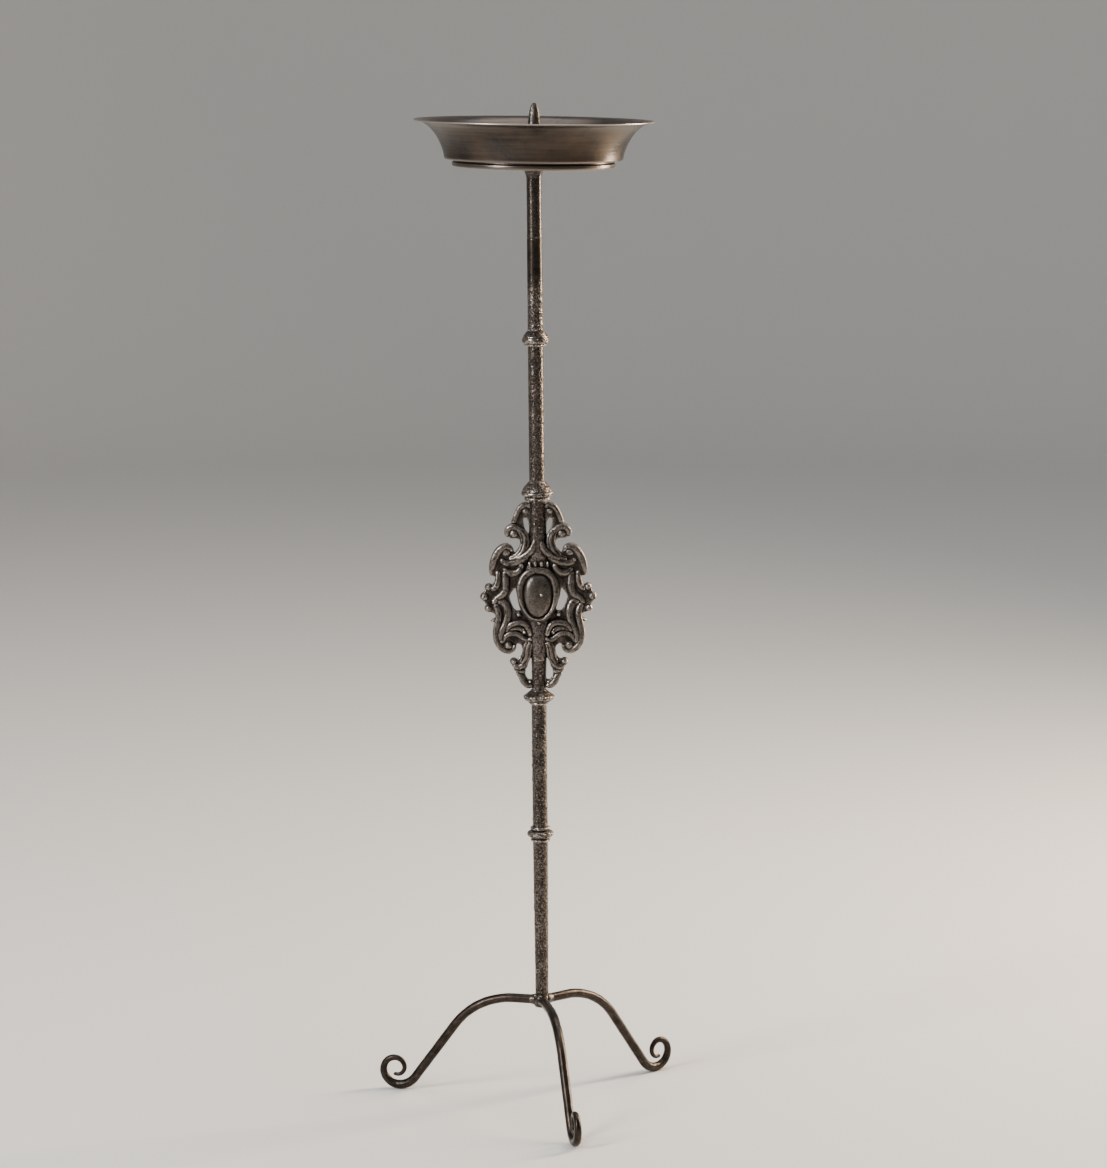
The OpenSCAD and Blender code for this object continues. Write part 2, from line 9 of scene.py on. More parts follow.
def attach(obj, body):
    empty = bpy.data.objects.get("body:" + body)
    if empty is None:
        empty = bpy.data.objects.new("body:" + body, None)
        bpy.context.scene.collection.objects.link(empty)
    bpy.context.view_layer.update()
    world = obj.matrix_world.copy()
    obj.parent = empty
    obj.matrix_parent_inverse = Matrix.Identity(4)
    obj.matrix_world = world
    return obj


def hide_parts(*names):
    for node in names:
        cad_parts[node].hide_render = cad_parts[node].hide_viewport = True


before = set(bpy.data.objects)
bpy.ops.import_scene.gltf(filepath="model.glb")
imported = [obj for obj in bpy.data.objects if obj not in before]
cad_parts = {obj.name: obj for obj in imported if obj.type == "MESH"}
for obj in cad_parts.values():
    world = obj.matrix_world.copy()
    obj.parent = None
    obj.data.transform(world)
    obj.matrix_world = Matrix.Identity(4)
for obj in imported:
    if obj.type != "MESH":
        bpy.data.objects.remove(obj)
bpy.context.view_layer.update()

# Sizes are in millimetres until a mesh is made, and are the part's own. Steps are multiplied by COARSE.
MM = 0.001
LEG_Z, SEAT_Z = 108.0, 989.9
LEAN, ROLL = math.radians(0.53), math.radians(0.69)
CASTING_Z, BOSS_Z = 538.5, 541.0
PAN_T, PAN_H, PAN_R, PAN_BASE_R = 2.0, 38.8, 122.3, 91.0
COARSE = 1.0

lift = Matrix.Translation((0, 0, LEG_Z))
STEM = lift @ Matrix.Rotation(-LEAN, 4, "Y") @ lift.inverted()
SEAT = STEM @ Matrix.Translation((0, 0, SEAT_Z)) @ Matrix.Rotation(LEAN + ROLL, 4, "Y")


# Surface irregularity

def lumps(p, size, seed=0):
    """Smooth lumps about one size across, from -1 to 1, at each point.

    The large numbers only stir each cell's place into a value that looks random and never changes.
    """
    q = p / size + seed * 7.31
    cell = np.floor(q).astype(np.int64)
    f = q - cell
    f = f * f * (3 - 2 * f)
    total = np.zeros(len(p))
    for corner in range(8):
        d = np.array([corner & 1, corner >> 1 & 1, corner >> 2 & 1])
        c = (cell + d).astype(np.uint64)
        h = c[:, 0] * np.uint64(73856093) ^ c[:, 1] * np.uint64(19349663)
        h = h ^ c[:, 2] * np.uint64(83492791)
        h = (h ^ (h >> np.uint64(13))) * np.uint64(1274126177 + 2 * seed)
        h = (h ^ (h >> np.uint64(16))) & np.uint64(0xFFFF)
        total += (h / 32767.5 - 1) * np.prod(np.where(d, f, 1 - f), axis=1)
    return total


def pits(p, size, seed=0, threshold=0.25):
    """Shallow pits, 0 on the skin and 1 at the bottom of a pit."""
    a = lumps(p, size, seed) + 0.5 * lumps(p, size * 0.47, seed + 1)
    return np.clip((a - threshold) / (1 - threshold), 0, 1)


# Meshes

def tube_faces(rows, around, closed_rows=False):
    """Quads between rows of a tube whose rows each have the same count of points."""
    i = np.arange(rows if closed_rows else rows - 1)[:, None]
    j = np.arange(around)[None, :]
    k = (j + 1) % around
    n = (i + 1) % rows
    quads = np.stack([i * around + j, i * around + k, n * around + k, n * around + j], axis=-1)
    return quads.reshape(-1, 4).tolist()


def make_mesh(name, points, faces, place):
    """A mesh in the part's frame, in metres, from points in millimetres in one of its frames."""
    m = np.array(place)
    p = (np.asarray(points) @ m[:3, :3].T + m[:3, 3]) * MM
    mesh = bpy.data.meshes.new(name)
    mesh.from_pydata(p.tolist(), [], faces)
    mesh.validate()
    mesh.update()
    return mesh


# Reach and strength of the ridge mark (wear and painted highlight) and the hollow mark (painted shade).
RIDGE_HOLLOW_REACH, RIDGE_HOLLOW_GAIN = 2, 2.2


def worn_and_sunk(mesh):
    """Mark the ridges, which rubbing turns bright and which also get a painted highlight, and the hollows, which
    get painted shade.
    """
    n = len(mesh.vertices)
    co = np.empty(n * 3)
    mesh.vertices.foreach_get("co", co)
    co = co.reshape(-1, 3) / MM
    no = np.empty(n * 3)
    mesh.vertices.foreach_get("normal", no)
    no = no.reshape(-1, 3)
    e = np.empty(len(mesh.edges) * 2, np.int64)
    mesh.edges.foreach_get("vertices", e)
    a, b = e.reshape(-1, 2).T
    d = co[b] - co[a]
    l2 = np.maximum((d * d).sum(1), 1e-4)
    bend = np.zeros(n)
    count = np.zeros(n)
    np.add.at(bend, a, -(no[a] * d).sum(1) / l2)
    np.add.at(bend, b, (no[b] * d).sum(1) / l2)
    np.add.at(count, a, 1)
    np.add.at(count, b, 1)
    count = np.maximum(count, 1)
    bend /= count
    for _ in range(RIDGE_HOLLOW_REACH):
        s = np.zeros(n)
        np.add.at(s, a, bend[b])
        np.add.at(s, b, bend[a])
        bend = 0.4 * bend + 0.6 * s / count
    # the ridge mark brightens for wear and a painted highlight; the hollow mark is painted shade
    for label, v in (("worn", bend), ("painted_shade", -bend)):
        layer = mesh.attributes.new(label, "FLOAT", "POINT")
        layer.data.foreach_set("value", np.clip(v * RIDGE_HOLLOW_GAIN, 0, 1).astype(np.float32))


def piece(name, mesh, body, slot, material, *nodes):
    """One finished piece: it rides on its body and stands for its CAD nodes."""
    mesh.shade_smooth()
    # ridges marked for wear and painted highlight, hollows for painted shade
    worn_and_sunk(mesh)
    obj = bpy.data.objects.new(name, mesh)
    bpy.context.scene.collection.objects.link(obj)
    mesh.materials.append(material)
    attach(obj, body)
    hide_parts(*nodes)
    return obj


def fine_outline(outline, step):
    """An outline of [radius, height] points cut into short, even stretches."""
    out = []
    for (r0, z0), (r1, z1) in zip(outline, outline[1:]):
        n = max(1, math.ceil(math.hypot(r1 - r0, z1 - z0) / step))
        out += [(r0 + (r1 - r0) * i / n, z0 + (z1 - z0) * i / n) for i in range(n)]
    return np.array(out + [outline[-1]])


def turned(name, outline, place, around, step, relief=None, ring=False):
    """A piece turned about the axis; relief gives how far in each point of its skin sits."""
    p = fine_outline(outline + [outline[0]] if ring else outline, step * COARSE)
    if ring:
        p = p[:-1]
        t = np.roll(p, -1, 0) - np.roll(p, 1, 0)
    else:
        t = np.gradient(p, axis=0)
    n = np.stack([t[:, 1], -t[:, 0]], axis=1) / np.maximum(np.linalg.norm(t, axis=1), 1e-9)[:, None]
    around = int(around / COARSE)
    a = 2 * math.pi * np.arange(around) / around
    c, s = np.cos(a)[None, :], np.sin(a)[None, :]
    points = np.stack([p[:, :1] * c, p[:, :1] * s, p[:, 1:] + 0 * c], axis=-1)
    normals = np.stack([n[:, :1] * c, n[:, :1] * s, n[:, 1:] + 0 * c], axis=-1)
    points, normals = points.reshape(-1, 3), normals.reshape(-1, 3)
    if relief is not None:
        points = points - normals * relief(points)[:, None]
    faces = tube_faces(len(p), around, ring)
    if not ring:
        last = (len(p) - 1) * around
        first_mid, last_mid = len(points), len(points) + 1
        points = np.concatenate([points, [[0, 0, p[0][1]], [0, 0, p[-1][1]]]])
        faces += [[first_mid, (j + 1) % around, j] for j in range(around)]
        faces += [[last_mid, last + j, last + (j + 1) % around] for j in range(around)]
    return make_mesh(name, points, faces, place)


def band(r, low, high, bulge, steps=8):
    """A rounded band on a knop's outline."""
    turns = [math.pi * (i / steps - 0.5) for i in range(steps + 1)]
    middle, half = (low + high) / 2, (high - low) / 2
    return [(r + bulge * math.cos(t), middle + half * math.sin(t)) for t in turns]


def curve(p, steps):
    """A smooth run through the given points."""
    p = np.array(p, float)
    last = len(p) - 1
    out = []
    for i in range(last):
        a, b, c, d = p[max(i - 1, 0)], p[i], p[i + 1], p[min(i + 2, last)]
        for j in range(steps):
            t = j / steps
            out.append(0.5 * (2 * b + (c - a) * t + (2 * a - 5 * b + 4 * c - d) * t ** 2
                              + (3 * b - a - 3 * c + d) * t ** 3))
    return np.array(out + [p[-1]])


def swept(centres, across, along, radii, around, crown=None):
    """A closed tube: centres with two side directions at each station, and one or two radii.

    With a crown, the section has upright sides and a domed top, that many half widths high.
    """
    a = 2 * math.pi * (np.arange(around) + (0.5 if crown else 0)) / around
    ra, rb = (radii[:, 0], radii[:, 1]) if radii.ndim == 2 else (radii, radii)
    high = rb[:, None] * np.sin(a)
    if crown:
        dome = crown * ra[:, None]
        high = np.sign(np.sin(a)) * (rb[:, None] - dome + dome * np.abs(np.sin(a)))
    points = (centres[:, None, :] + across[:, None, :] * (ra[:, None] * np.cos(a))[:, :, None]
              + along[:, None, :] * high[:, :, None])
    rows = len(centres)
    faces = tube_faces(rows, around)
    faces.append(list(range(around))[::-1])
    faces.append([(rows - 1) * around + j for j in range(around)])
    return points.reshape(-1, 3), faces


class Shapes:
    """Closed shapes gathered to be cast or forged into one piece."""

    def __init__(self):
        self.points, self.faces, self.count = [], [], 0

    def add(self, points, faces):
        self.points.append(np.asarray(points, float))
        self.faces += [[v + self.count for v in f] for f in faces]
        self.count += len(points)

    def fused(self, name, voxel, rounds, keep):
        """The shapes as one skin: joined, softened and thinned to a share of its faces."""
        mesh = make_mesh(name + "_rough", np.concatenate(self.points), self.faces, Matrix.Identity(4))
        rough = bpy.data.objects.new(name + "_rough", mesh)
        bpy.context.scene.collection.objects.link(rough)
        remesh = rough.modifiers.new("join", "REMESH")
        remesh.mode = "VOXEL"
        remesh.voxel_size = voxel * COARSE * MM
        soften = rough.modifiers.new("soften", "SMOOTH")
        soften.factor, soften.iterations = 0.5, rounds
        thin = rough.modifiers.new("thin", "DECIMATE")
        thin.ratio = keep
        done = rough.evaluated_get(bpy.context.evaluated_depsgraph_get())
        made = bpy.data.meshes.new_from_object(done)
        bpy.data.objects.remove(rough)
        return made


# Finishes

def group(name, inputs, outputs):
    """A shader node group with named sockets, and its input and output nodes."""
    tree = bpy.data.node_groups.new(name, "ShaderNodeTree")
    for label, kind, value in inputs:
        s = tree.interface.new_socket(label, in_out="INPUT", socket_type=kind)
        s.default_value = value
    for label, kind in outputs:
        tree.interface.new_socket(label, in_out="OUTPUT", socket_type=kind)
    return tree, tree.nodes.new("NodeGroupInput"), tree.nodes.new("NodeGroupOutput")


def node(tree, kind, settings=(), **inputs):
    """A node with its settings, and inputs given as values or as sockets to link."""
    n = tree.nodes.new(kind)
    for key, value in dict(settings).items():
        setattr(n, key, value)
    for key, value in inputs.items():
        s = n.inputs[int(key[1:]) if key[0] == "i" and key[1:].isdigit() else key.replace("_", " ")]
        if isinstance(value, bpy.types.NodeSocket):
            tree.links.new(value, s)
        else:
            s.default_value = value
    return n


def maths(tree, operation, a, b=0.0, clamp=False):
    """The result of one sum, difference, product, share or root."""
    return node(tree, "ShaderNodeMath", {"operation": operation, "use_clamp": clamp}, i0=a, i1=b).outputs[0]


def noise(tree, vector, scale, detail, roughness):
    """A noise value, from 0 to 1, at the given place."""
    made = node(tree, "ShaderNodeTexNoise", Vector=vector, Scale=scale, Detail=detail, Roughness=roughness)
    return made.outputs[0]


def spread(tree, value, low, high):
    """The value stretched so that low becomes 0 and high becomes 1."""
    return node(tree, "ShaderNodeMapRange", Value=value, From_Min=low, From_Max=high).outputs[0]


def place_on(tree):
    """The point being shaded, in metres in the part's frame."""
    return node(tree, "ShaderNodeTexCoord").outputs["Object"]


def pitting_group():
    """Fine pits and grain in iron: a height, and a mask that is 1 in the pits."""
    tree, given, out = group("Iron pitting",
                             [("Pit size", "NodeSocketFloat", 0.001), ("Pit share", "NodeSocketFloat", 0.5)],
                             [("Height", "NodeSocketFloat"), ("Pits", "NodeSocketFloat")])
    at = place_on(tree)
    scale = maths(tree, "DIVIDE", 1.0, given.outputs["Pit size"])
    coarse = noise(tree, at, maths(tree, "MULTIPLY", scale, 0.5), 2.0, 0.6)
    fine = noise(tree, at, maths(tree, "MULTIPLY", scale, 1.4), 3.0, 0.6)
    edge = maths(tree, "SUBTRACT", 0.72, maths(tree, "MULTIPLY", given.outputs["Pit share"], 0.3))
    hole = node(tree, "ShaderNodeMapRange", Value=coarse, From_Min=edge,
                From_Max=maths(tree, "ADD", edge, 0.12)).outputs[0]
    height = maths(tree, "SUBTRACT", maths(tree, "MULTIPLY", fine, 0.35), hole)
    tree.links.new(height, out.inputs["Height"])
    tree.links.new(hole, out.inputs["Pits"])
    return tree


def iron_group():
    """Dark iron: black oxide, brown in places, grey where rubbing bares the ridges, with a painted highlight on
    the ridges and painted shade in the hollows.
    """
    tree, given, out = group("Dark iron",
                             [("Black", "NodeSocketColor", (0.02, 0.018, 0.016, 1)),
                              ("Brown", "NodeSocketColor", (0.06, 0.045, 0.035, 1)),
                              # the socket below holds the colour of ridges bared by rubbing, which also carries
                              # their painted highlight
                              ("Rubbed", "NodeSocketColor", (0.3, 0.28, 0.27, 1)),
                              ("Rubbing", "NodeSocketFloat", 0.5), ("Patch size", "NodeSocketFloat", 0.01),
                              ("Pits", "NodeSocketFloat", 0.0), ("Gloss", "NodeSocketFloat", 0.4)],
                             [("Color", "NodeSocketColor"), ("Roughness", "NodeSocketFloat")])
    at = place_on(tree)
    scale = maths(tree, "DIVIDE", 1.0, given.outputs["Patch size"])
    patch = spread(tree, noise(tree, at, scale, 4.0, 0.65), 0.35, 0.65)
    speck = spread(tree, noise(tree, at, maths(tree, "MULTIPLY", scale, 9.0), 3.0, 0.65), 0.45, 0.62)
    worn = node(tree, "ShaderNodeAttribute", {"attribute_name": "worn"}).outputs["Fac"]
    painted_shade = node(tree, "ShaderNodeAttribute", {"attribute_name": "painted_shade"}).outputs["Fac"]
    # ridges mixed toward the rubbing colour: wear and a painted highlight
    rub_and_painted_light = maths(tree, "ADD", maths(tree, "MULTIPLY", worn, 1.5), maths(tree, "MULTIPLY", patch, 0.16))
    rub_and_painted_light = maths(tree, "MULTIPLY", maths(tree, "ADD", rub_and_painted_light, 0.14), maths(tree, "ADD", speck, 0.12))
    rub_and_painted_light = maths(tree, "MULTIPLY", rub_and_painted_light, given.outputs["Rubbing"])
    # painted shade: hollows darkened in the colour itself
    rub_and_painted_light = maths(tree, "SUBTRACT", rub_and_painted_light, maths(tree, "MULTIPLY", painted_shade, 1.2))
    rub_and_painted_light = maths(tree, "SUBTRACT", rub_and_painted_light, maths(tree, "MULTIPLY", given.outputs["Pits"], 0.5), True)
    oxide = node(tree, "ShaderNodeMix", {"data_type": "RGBA"}, i0=patch, i6=given.outputs["Black"],
                 i7=given.outputs["Brown"]).outputs[2]
    colour = node(tree, "ShaderNodeMix", {"data_type": "RGBA"}, i0=rub_and_painted_light, i6=oxide,
                  i7=given.outputs["Rubbed"]).outputs[2]
    rough = maths(tree, "SUBTRACT", maths(tree, "SUBTRACT", 0.78, given.outputs["Gloss"]),
                  maths(tree, "MULTIPLY", rub_and_painted_light, 0.14))
    rough = maths(tree, "ADD", rough, maths(tree, "MULTIPLY", given.outputs["Pits"], 0.15), True)
    tree.links.new(colour, out.inputs["Color"])
    tree.links.new(rough, out.inputs["Roughness"])
    return tree


def lathe_lines_group():
    """Fine rings that turning and scouring leave round an upright axis."""
    tree, given, out = group("Lathe lines",
                             [("Axis X", "NodeSocketFloat", 0.0), ("Fineness", "NodeSocketFloat", 900.0)],
                             [("Height", "NodeSocketFloat"), ("Streaks", "NodeSocketFloat")])
    xyz = node(tree, "ShaderNodeSeparateXYZ", Vector=place_on(tree))
    x = maths(tree, "SUBTRACT", xyz.outputs[0], given.outputs["Axis X"])
    y, z = xyz.outputs[1], xyz.outputs[2]
    squares = maths(tree, "ADD", maths(tree, "MULTIPLY", x, x), maths(tree, "MULTIPLY", y, y))
    r = maths(tree, "SQRT", squares)
    r = maths(tree, "MAXIMUM", r, 0.001)
    along = maths(tree, "MULTIPLY", maths(tree, "ADD", z, r), given.outputs["Fineness"])
    turn = node(tree, "ShaderNodeCombineXYZ", X=maths(tree, "MULTIPLY", maths(tree, "DIVIDE", x, r), 1.6),
                Y=maths(tree, "MULTIPLY", maths(tree, "DIVIDE", y, r), 1.6), Z=along).outputs[0]
    lines = noise(tree, turn, 1.0, 2.0, 0.6)
    broad = node(tree, "ShaderNodeCombineXYZ", X=maths(tree, "DIVIDE", x, r), Y=maths(tree, "DIVIDE", y, r),
                 Z=maths(tree, "MULTIPLY", along, 0.12)).outputs[0]
    tree.links.new(lines, out.inputs["Height"])
    tree.links.new(spread(tree, noise(tree, broad, 1.3, 3.0, 0.6), 0.3, 0.7), out.inputs["Streaks"])
    return tree


PITTING, DARK_IRON, LATHE_LINES = pitting_group(), iron_group(), lathe_lines_group()
IRON_METALLIC, PAN_METALLIC = 0.9, 0.95


def iron(name, black, brown, rubbed_and_highlight, rubbing, patch, gloss, pit_size, pit_share, depth, pits_from=None):
    """A finish of dark iron with its own colours, rubbing and painted highlight, pits and gloss; sizes are in
    metres here.

    With pits_from, the pits fade in downward between two heights.
    """
    m = bpy.data.materials.new(name)
    m.use_nodes = True
    tree = m.node_tree
    shader = tree.nodes["Principled BSDF"]
    pit = node(tree, "ShaderNodeGroup", {"node_tree": PITTING}, Pit_size=pit_size, Pit_share=pit_share)
    skin = node(tree, "ShaderNodeGroup", {"node_tree": DARK_IRON}, Black=(*black, 1), Brown=(*brown, 1),
                Rubbed=(*rubbed_and_highlight, 1), Rubbing=rubbing, Patch_size=patch, Gloss=gloss, Pits=pit.outputs["Pits"])
    height = pit.outputs["Height"]
    if pits_from:
        z = node(tree, "ShaderNodeSeparateXYZ", Vector=place_on(tree)).outputs[2]
        fade = spread(tree, z, *pits_from)
        depth_here = maths(tree, "ADD", maths(tree, "MULTIPLY", fade, 0.92), 0.08)
        height = maths(tree, "MULTIPLY", height, depth_here)
        rubbing_here = maths(tree, "ADD", maths(tree, "MULTIPLY", fade, rubbing), 0.1)
        tree.links.new(rubbing_here, skin.inputs["Rubbing"])
    bump = node(tree, "ShaderNodeBump", Strength=1.0, Distance=depth, Height=height)
    shader.inputs["Metallic"].default_value = IRON_METALLIC
    tree.links.new(skin.outputs["Color"], shader.inputs["Base Color"])
    tree.links.new(skin.outputs["Roughness"], shader.inputs["Roughness"])
    tree.links.new(bump.outputs["Normal"], shader.inputs["Normal"])
    return m


def spun_iron(name, dark, bronze, bright, axis_x):
    """The pan's finish: gunmetal to bronze brown, with fine rings and soft streaks round it."""
    m = bpy.data.materials.new(name)
    m.use_nodes = True
    tree = m.node_tree
    shader = tree.nodes["Principled BSDF"]
    lines = node(tree, "ShaderNodeGroup", {"node_tree": LATHE_LINES}, Axis_X=axis_x, Fineness=1300.0)
    pit = node(tree, "ShaderNodeGroup", {"node_tree": PITTING}, Pit_size=0.0009, Pit_share=0.1)
    patch = spread(tree, noise(tree, place_on(tree), 26.0, 5.0, 0.7), 0.35, 0.68)
    worn = node(tree, "ShaderNodeAttribute", {"attribute_name": "worn"}).outputs["Fac"]
    base = node(tree, "ShaderNodeMix", {"data_type": "RGBA"}, i0=patch, i6=(*dark, 1),
                i7=(*bronze, 1)).outputs[2]
    # the lip and other tight bends mixed toward the bright colour: partly wear, partly a painted highlight
    rub_and_painted_light = maths(tree, "ADD", maths(tree, "MULTIPLY", lines.outputs["Streaks"], 0.07),
                maths(tree, "MULTIPLY", worn, 1.5), True)
    colour = node(tree, "ShaderNodeMix", {"data_type": "RGBA"}, i0=rub_and_painted_light, i6=base, i7=(*bright, 1)).outputs[2]
    rough = maths(tree, "ADD", 0.21, maths(tree, "MULTIPLY", lines.outputs["Height"], 0.12))
    rough = maths(tree, "ADD", rough, maths(tree, "MULTIPLY", patch, 0.08), True)
    grain = maths(tree, "MULTIPLY", pit.outputs["Height"], 0.4)
    height = maths(tree, "ADD", lines.outputs["Height"], grain)
    bump = node(tree, "ShaderNodeBump", Strength=0.5, Distance=0.00004, Height=height)
    shader.inputs["Metallic"].default_value = PAN_METALLIC
    tree.links.new(colour, shader.inputs["Base Color"])
    tree.links.new(rough, shader.inputs["Roughness"])
    tree.links.new(bump.outputs["Normal"], shader.inputs["Normal"])
    return m


BLACK, BROWN = (0.016, 0.013, 0.011), (0.045, 0.033, 0.026)
# the colours the ridge mark mixes to: grey iron bared by rubbing, and a painted highlight on the ridges
RUBBED_AND_HIGHLIGHT, BRIGHT = (0.36, 0.32, 0.3), (0.6, 0.53, 0.48)
SMOOTH_ENDS, PITTED_STARTS = 0.874, 0.852

forged_bar = iron("Forged bar", BLACK, BROWN, RUBBED_AND_HIGHLIGHT, rubbing=0.8, patch=0.009, gloss=0.46,
                  pit_size=0.0011, pit_share=0.35, depth=0.00014)
pitted_bar = iron("Pitted bar", BLACK, BROWN, BRIGHT, rubbing=0.6, patch=0.012, gloss=0.5,
                  pit_size=0.0015, pit_share=0.6, depth=0.0005)
smooth_bar = iron("Smooth bar", (0.03, 0.026, 0.022), BROWN, RUBBED_AND_HIGHLIGHT, rubbing=0.5, patch=0.02, gloss=0.5,
                  pit_size=0.001, pit_share=0.15, depth=0.00006)
upper_bar = iron("Bar, smooth to pitted", BLACK, BROWN, BRIGHT, rubbing=1.0, patch=0.011, gloss=0.5,
                 pit_size=0.0015, pit_share=0.6, depth=0.0005, pits_from=(SMOOTH_ENDS, PITTED_STARTS))
knop_iron = iron("Pitted knop", BLACK, BROWN, (0.62, 0.55, 0.5), rubbing=1.1, patch=0.01, gloss=0.46,
                 pit_size=0.0015, pit_share=0.7, depth=0.0005)
openwork_iron = iron("Cast openwork", (0.012, 0.01, 0.008), (0.04, 0.03, 0.024), (0.55, 0.49, 0.45),
                     rubbing=1.15, patch=0.007, gloss=0.44, pit_size=0.0012, pit_share=0.5, depth=0.00035)
boss_iron = iron("Boss iron", (0.022, 0.019, 0.016), (0.055, 0.042, 0.034), (0.4, 0.36, 0.33),
                 rubbing=1.1, patch=0.006, gloss=0.44, pit_size=0.0009, pit_share=0.4, depth=0.0002)
rivet_iron = iron("Rubbed rivet", (0.1, 0.09, 0.08), (0.2, 0.17, 0.14), (0.7, 0.66, 0.62),
                  rubbing=0.9, patch=0.004, gloss=0.5, pit_size=0.0008, pit_share=0.1, depth=0.00004)
pan_iron = spun_iron("Spun pan", (0.022, 0.019, 0.018), (0.052, 0.036, 0.025), (0.32, 0.28, 0.25),
                     SEAT.translation.x * MM)


# Legs

BAR_R, FOOT_FLAT, LEG_ROOT = 5.0, 0.4, 8.0
LEG_REACH, LEG_ANGLE = [168.0, 161.0, 157.5], [11.5, 130.0, 256.4]
SLOPE, SHOULDER, ANKLE = math.radians(54), 80.0, 22.0
SCROLL_R, SCROLL_TURN, SCROLL_RATE, TIP_R = 18.5, math.radians(395), 0.15, 1.8


def leg_path(reach):
    """Stations along a leg's axis: distance out, height, heading and the bar's radius."""
    low = BAR_R - FOOT_FLAT
    drop, rise = SHOULDER * (1 - math.cos(SLOPE)), ANKLE * (1 - math.cos(SLOPE))
    shin = (LEG_Z - drop - low - rise) / math.tan(SLOPE)
    start = reach - (SHOULDER + ANKLE) * math.sin(SLOPE) - shin
    rows = [(x, LEG_Z, 0.0, BAR_R) for x in np.linspace(LEG_ROOT - 4, start, 14)[:-1]]
    rows += [(start + SHOULDER * math.sin(a), LEG_Z - SHOULDER * (1 - math.cos(a)), -a, BAR_R)
             for a in np.linspace(0, SLOPE, 60)]
    x0, z0 = rows[-1][:2]
    n = int(shin / math.cos(SLOPE) / 1.3)
    rows += [(x0 + shin * i / n, z0 - shin * math.tan(SLOPE) * i / n, -SLOPE, BAR_R) for i in range(1, n)]
    rows += [(reach - ANKLE * math.sin(a), low + ANKLE * (1 - math.cos(a)), -a, BAR_R)
             for a in np.linspace(SLOPE, 0, 20)[:-1]]
    k = SCROLL_RATE
    for s in np.linspace(0, 1, 130):
        a = SCROLL_TURN * s
        e = math.exp(-k * a)
        out = (e * (math.sin(a) - k * math.cos(a)) + k) / (1 + k * k)
        up = (1 - e * (math.cos(a) + k * math.sin(a))) / (1 + k * k)
        r = BAR_R + (TIP_R - BAR_R) * s ** 0.8
        r *= math.sqrt(max(0.03, 1 - max(0, (s - 0.975) / 0.025) ** 2))
        rows.append((reach + SCROLL_R * out, low + SCROLL_R * up, a, r))
    return np.array(rows)


def leg(name, i):
    """One leg: a round bar bent along its path, with the smith's flats and dents."""
    rows = leg_path(LEG_REACH[i])
    x, z, h, r = rows.T
    a = math.radians(LEG_ANGLE[i])
    out = np.array([math.sin(a), -math.cos(a), 0])
    side = np.array([math.cos(a), math.sin(a), 0])
    up = np.array([0, 0, 1.0])
    centres = x[:, None] * out + z[:, None] * up
    across = -np.sin(h)[:, None] * out + np.cos(h)[:, None] * up
    around = 36
    points, faces = swept(centres, across, np.repeat(side[None], len(x), 0), r, around)
    # hammering leaves faint flats along the bar and a slightly uneven thickness
    turn = np.tile(2 * math.pi * np.arange(around) / around, len(x))
    length = np.concatenate([[0], np.cumsum(np.linalg.norm(np.diff(centres, axis=0), axis=1))])
    far = np.repeat(length, around)
    flats = 0.012 * np.cos(8 * turn + 0.35 * np.sin(far / 21 + i)) + 0.024
    wander = np.stack([far, 3 * np.cos(turn), 3 * np.sin(turn)], axis=1)
    dents = 0.05 * np.clip(lumps(wander, 9, 3 + i), 0, 1) + 0.035 * pits(points, 1.9, 11 + i)
    mid = np.repeat(centres, around, 0)
    points = mid + (points - mid) * (1 - flats - dents)[:, None]
    points[:, 2] = np.maximum(points[:, 2], 0)
    mesh = make_mesh(name, points, faces, Matrix.Identity(4))
    return piece(name, mesh, "stand", "forged_bar", forged_bar, name)


for i, side in enumerate(("front", "right", "left")):
    leg("leg_" + side, i)


# Hub: the three roots and the stem's foot are forged together, with nubs of weld beside them

def ball(centre, radii, n=14):
    """A closed ball or egg."""
    th = np.linspace(0, math.pi, n + 1)[1:-1]
    ph = 2 * math.pi * np.arange(2 * n) / (2 * n)
    ring = np.stack([np.sin(th)[:, None] * np.cos(ph), np.sin(th)[:, None] * np.sin(ph),
                     np.cos(th)[:, None] + 0 * ph], axis=-1).reshape(-1, 3)
    p = np.concatenate([ring, [[0, 0, 1], [0, 0, -1]]]) * np.array(radii) + np.array(centre)
    m = 2 * n
    faces = [f[::-1] for f in tube_faces(n - 1, m)]
    top, bottom = len(ring), len(ring) + 1
    faces += [[top, j, (j + 1) % m] for j in range(m)]
    faces += [[bottom, (n - 2) * m + (j + 1) % m, (n - 2) * m + j] for j in range(m)]
    return p, faces


def rod(a, b, ra, rb, around=28):
    """A closed round rod from a to b."""
    a, b = np.array(a, float), np.array(b, float)
    d = (b - a) / np.linalg.norm(b - a)
    u = np.cross(d, [0.0, 0.3, 1.0] if abs(d[2]) < 0.9 else [1.0, 0, 0])
    u /= np.linalg.norm(u)
    v = np.cross(d, u)
    rows = np.linspace(0, 1, 6)
    return swept(a + (b - a) * rows[:, None], np.repeat(u[None], 6, 0), np.repeat(v[None], 6, 0),
                 ra + (rb - ra) * rows, around)


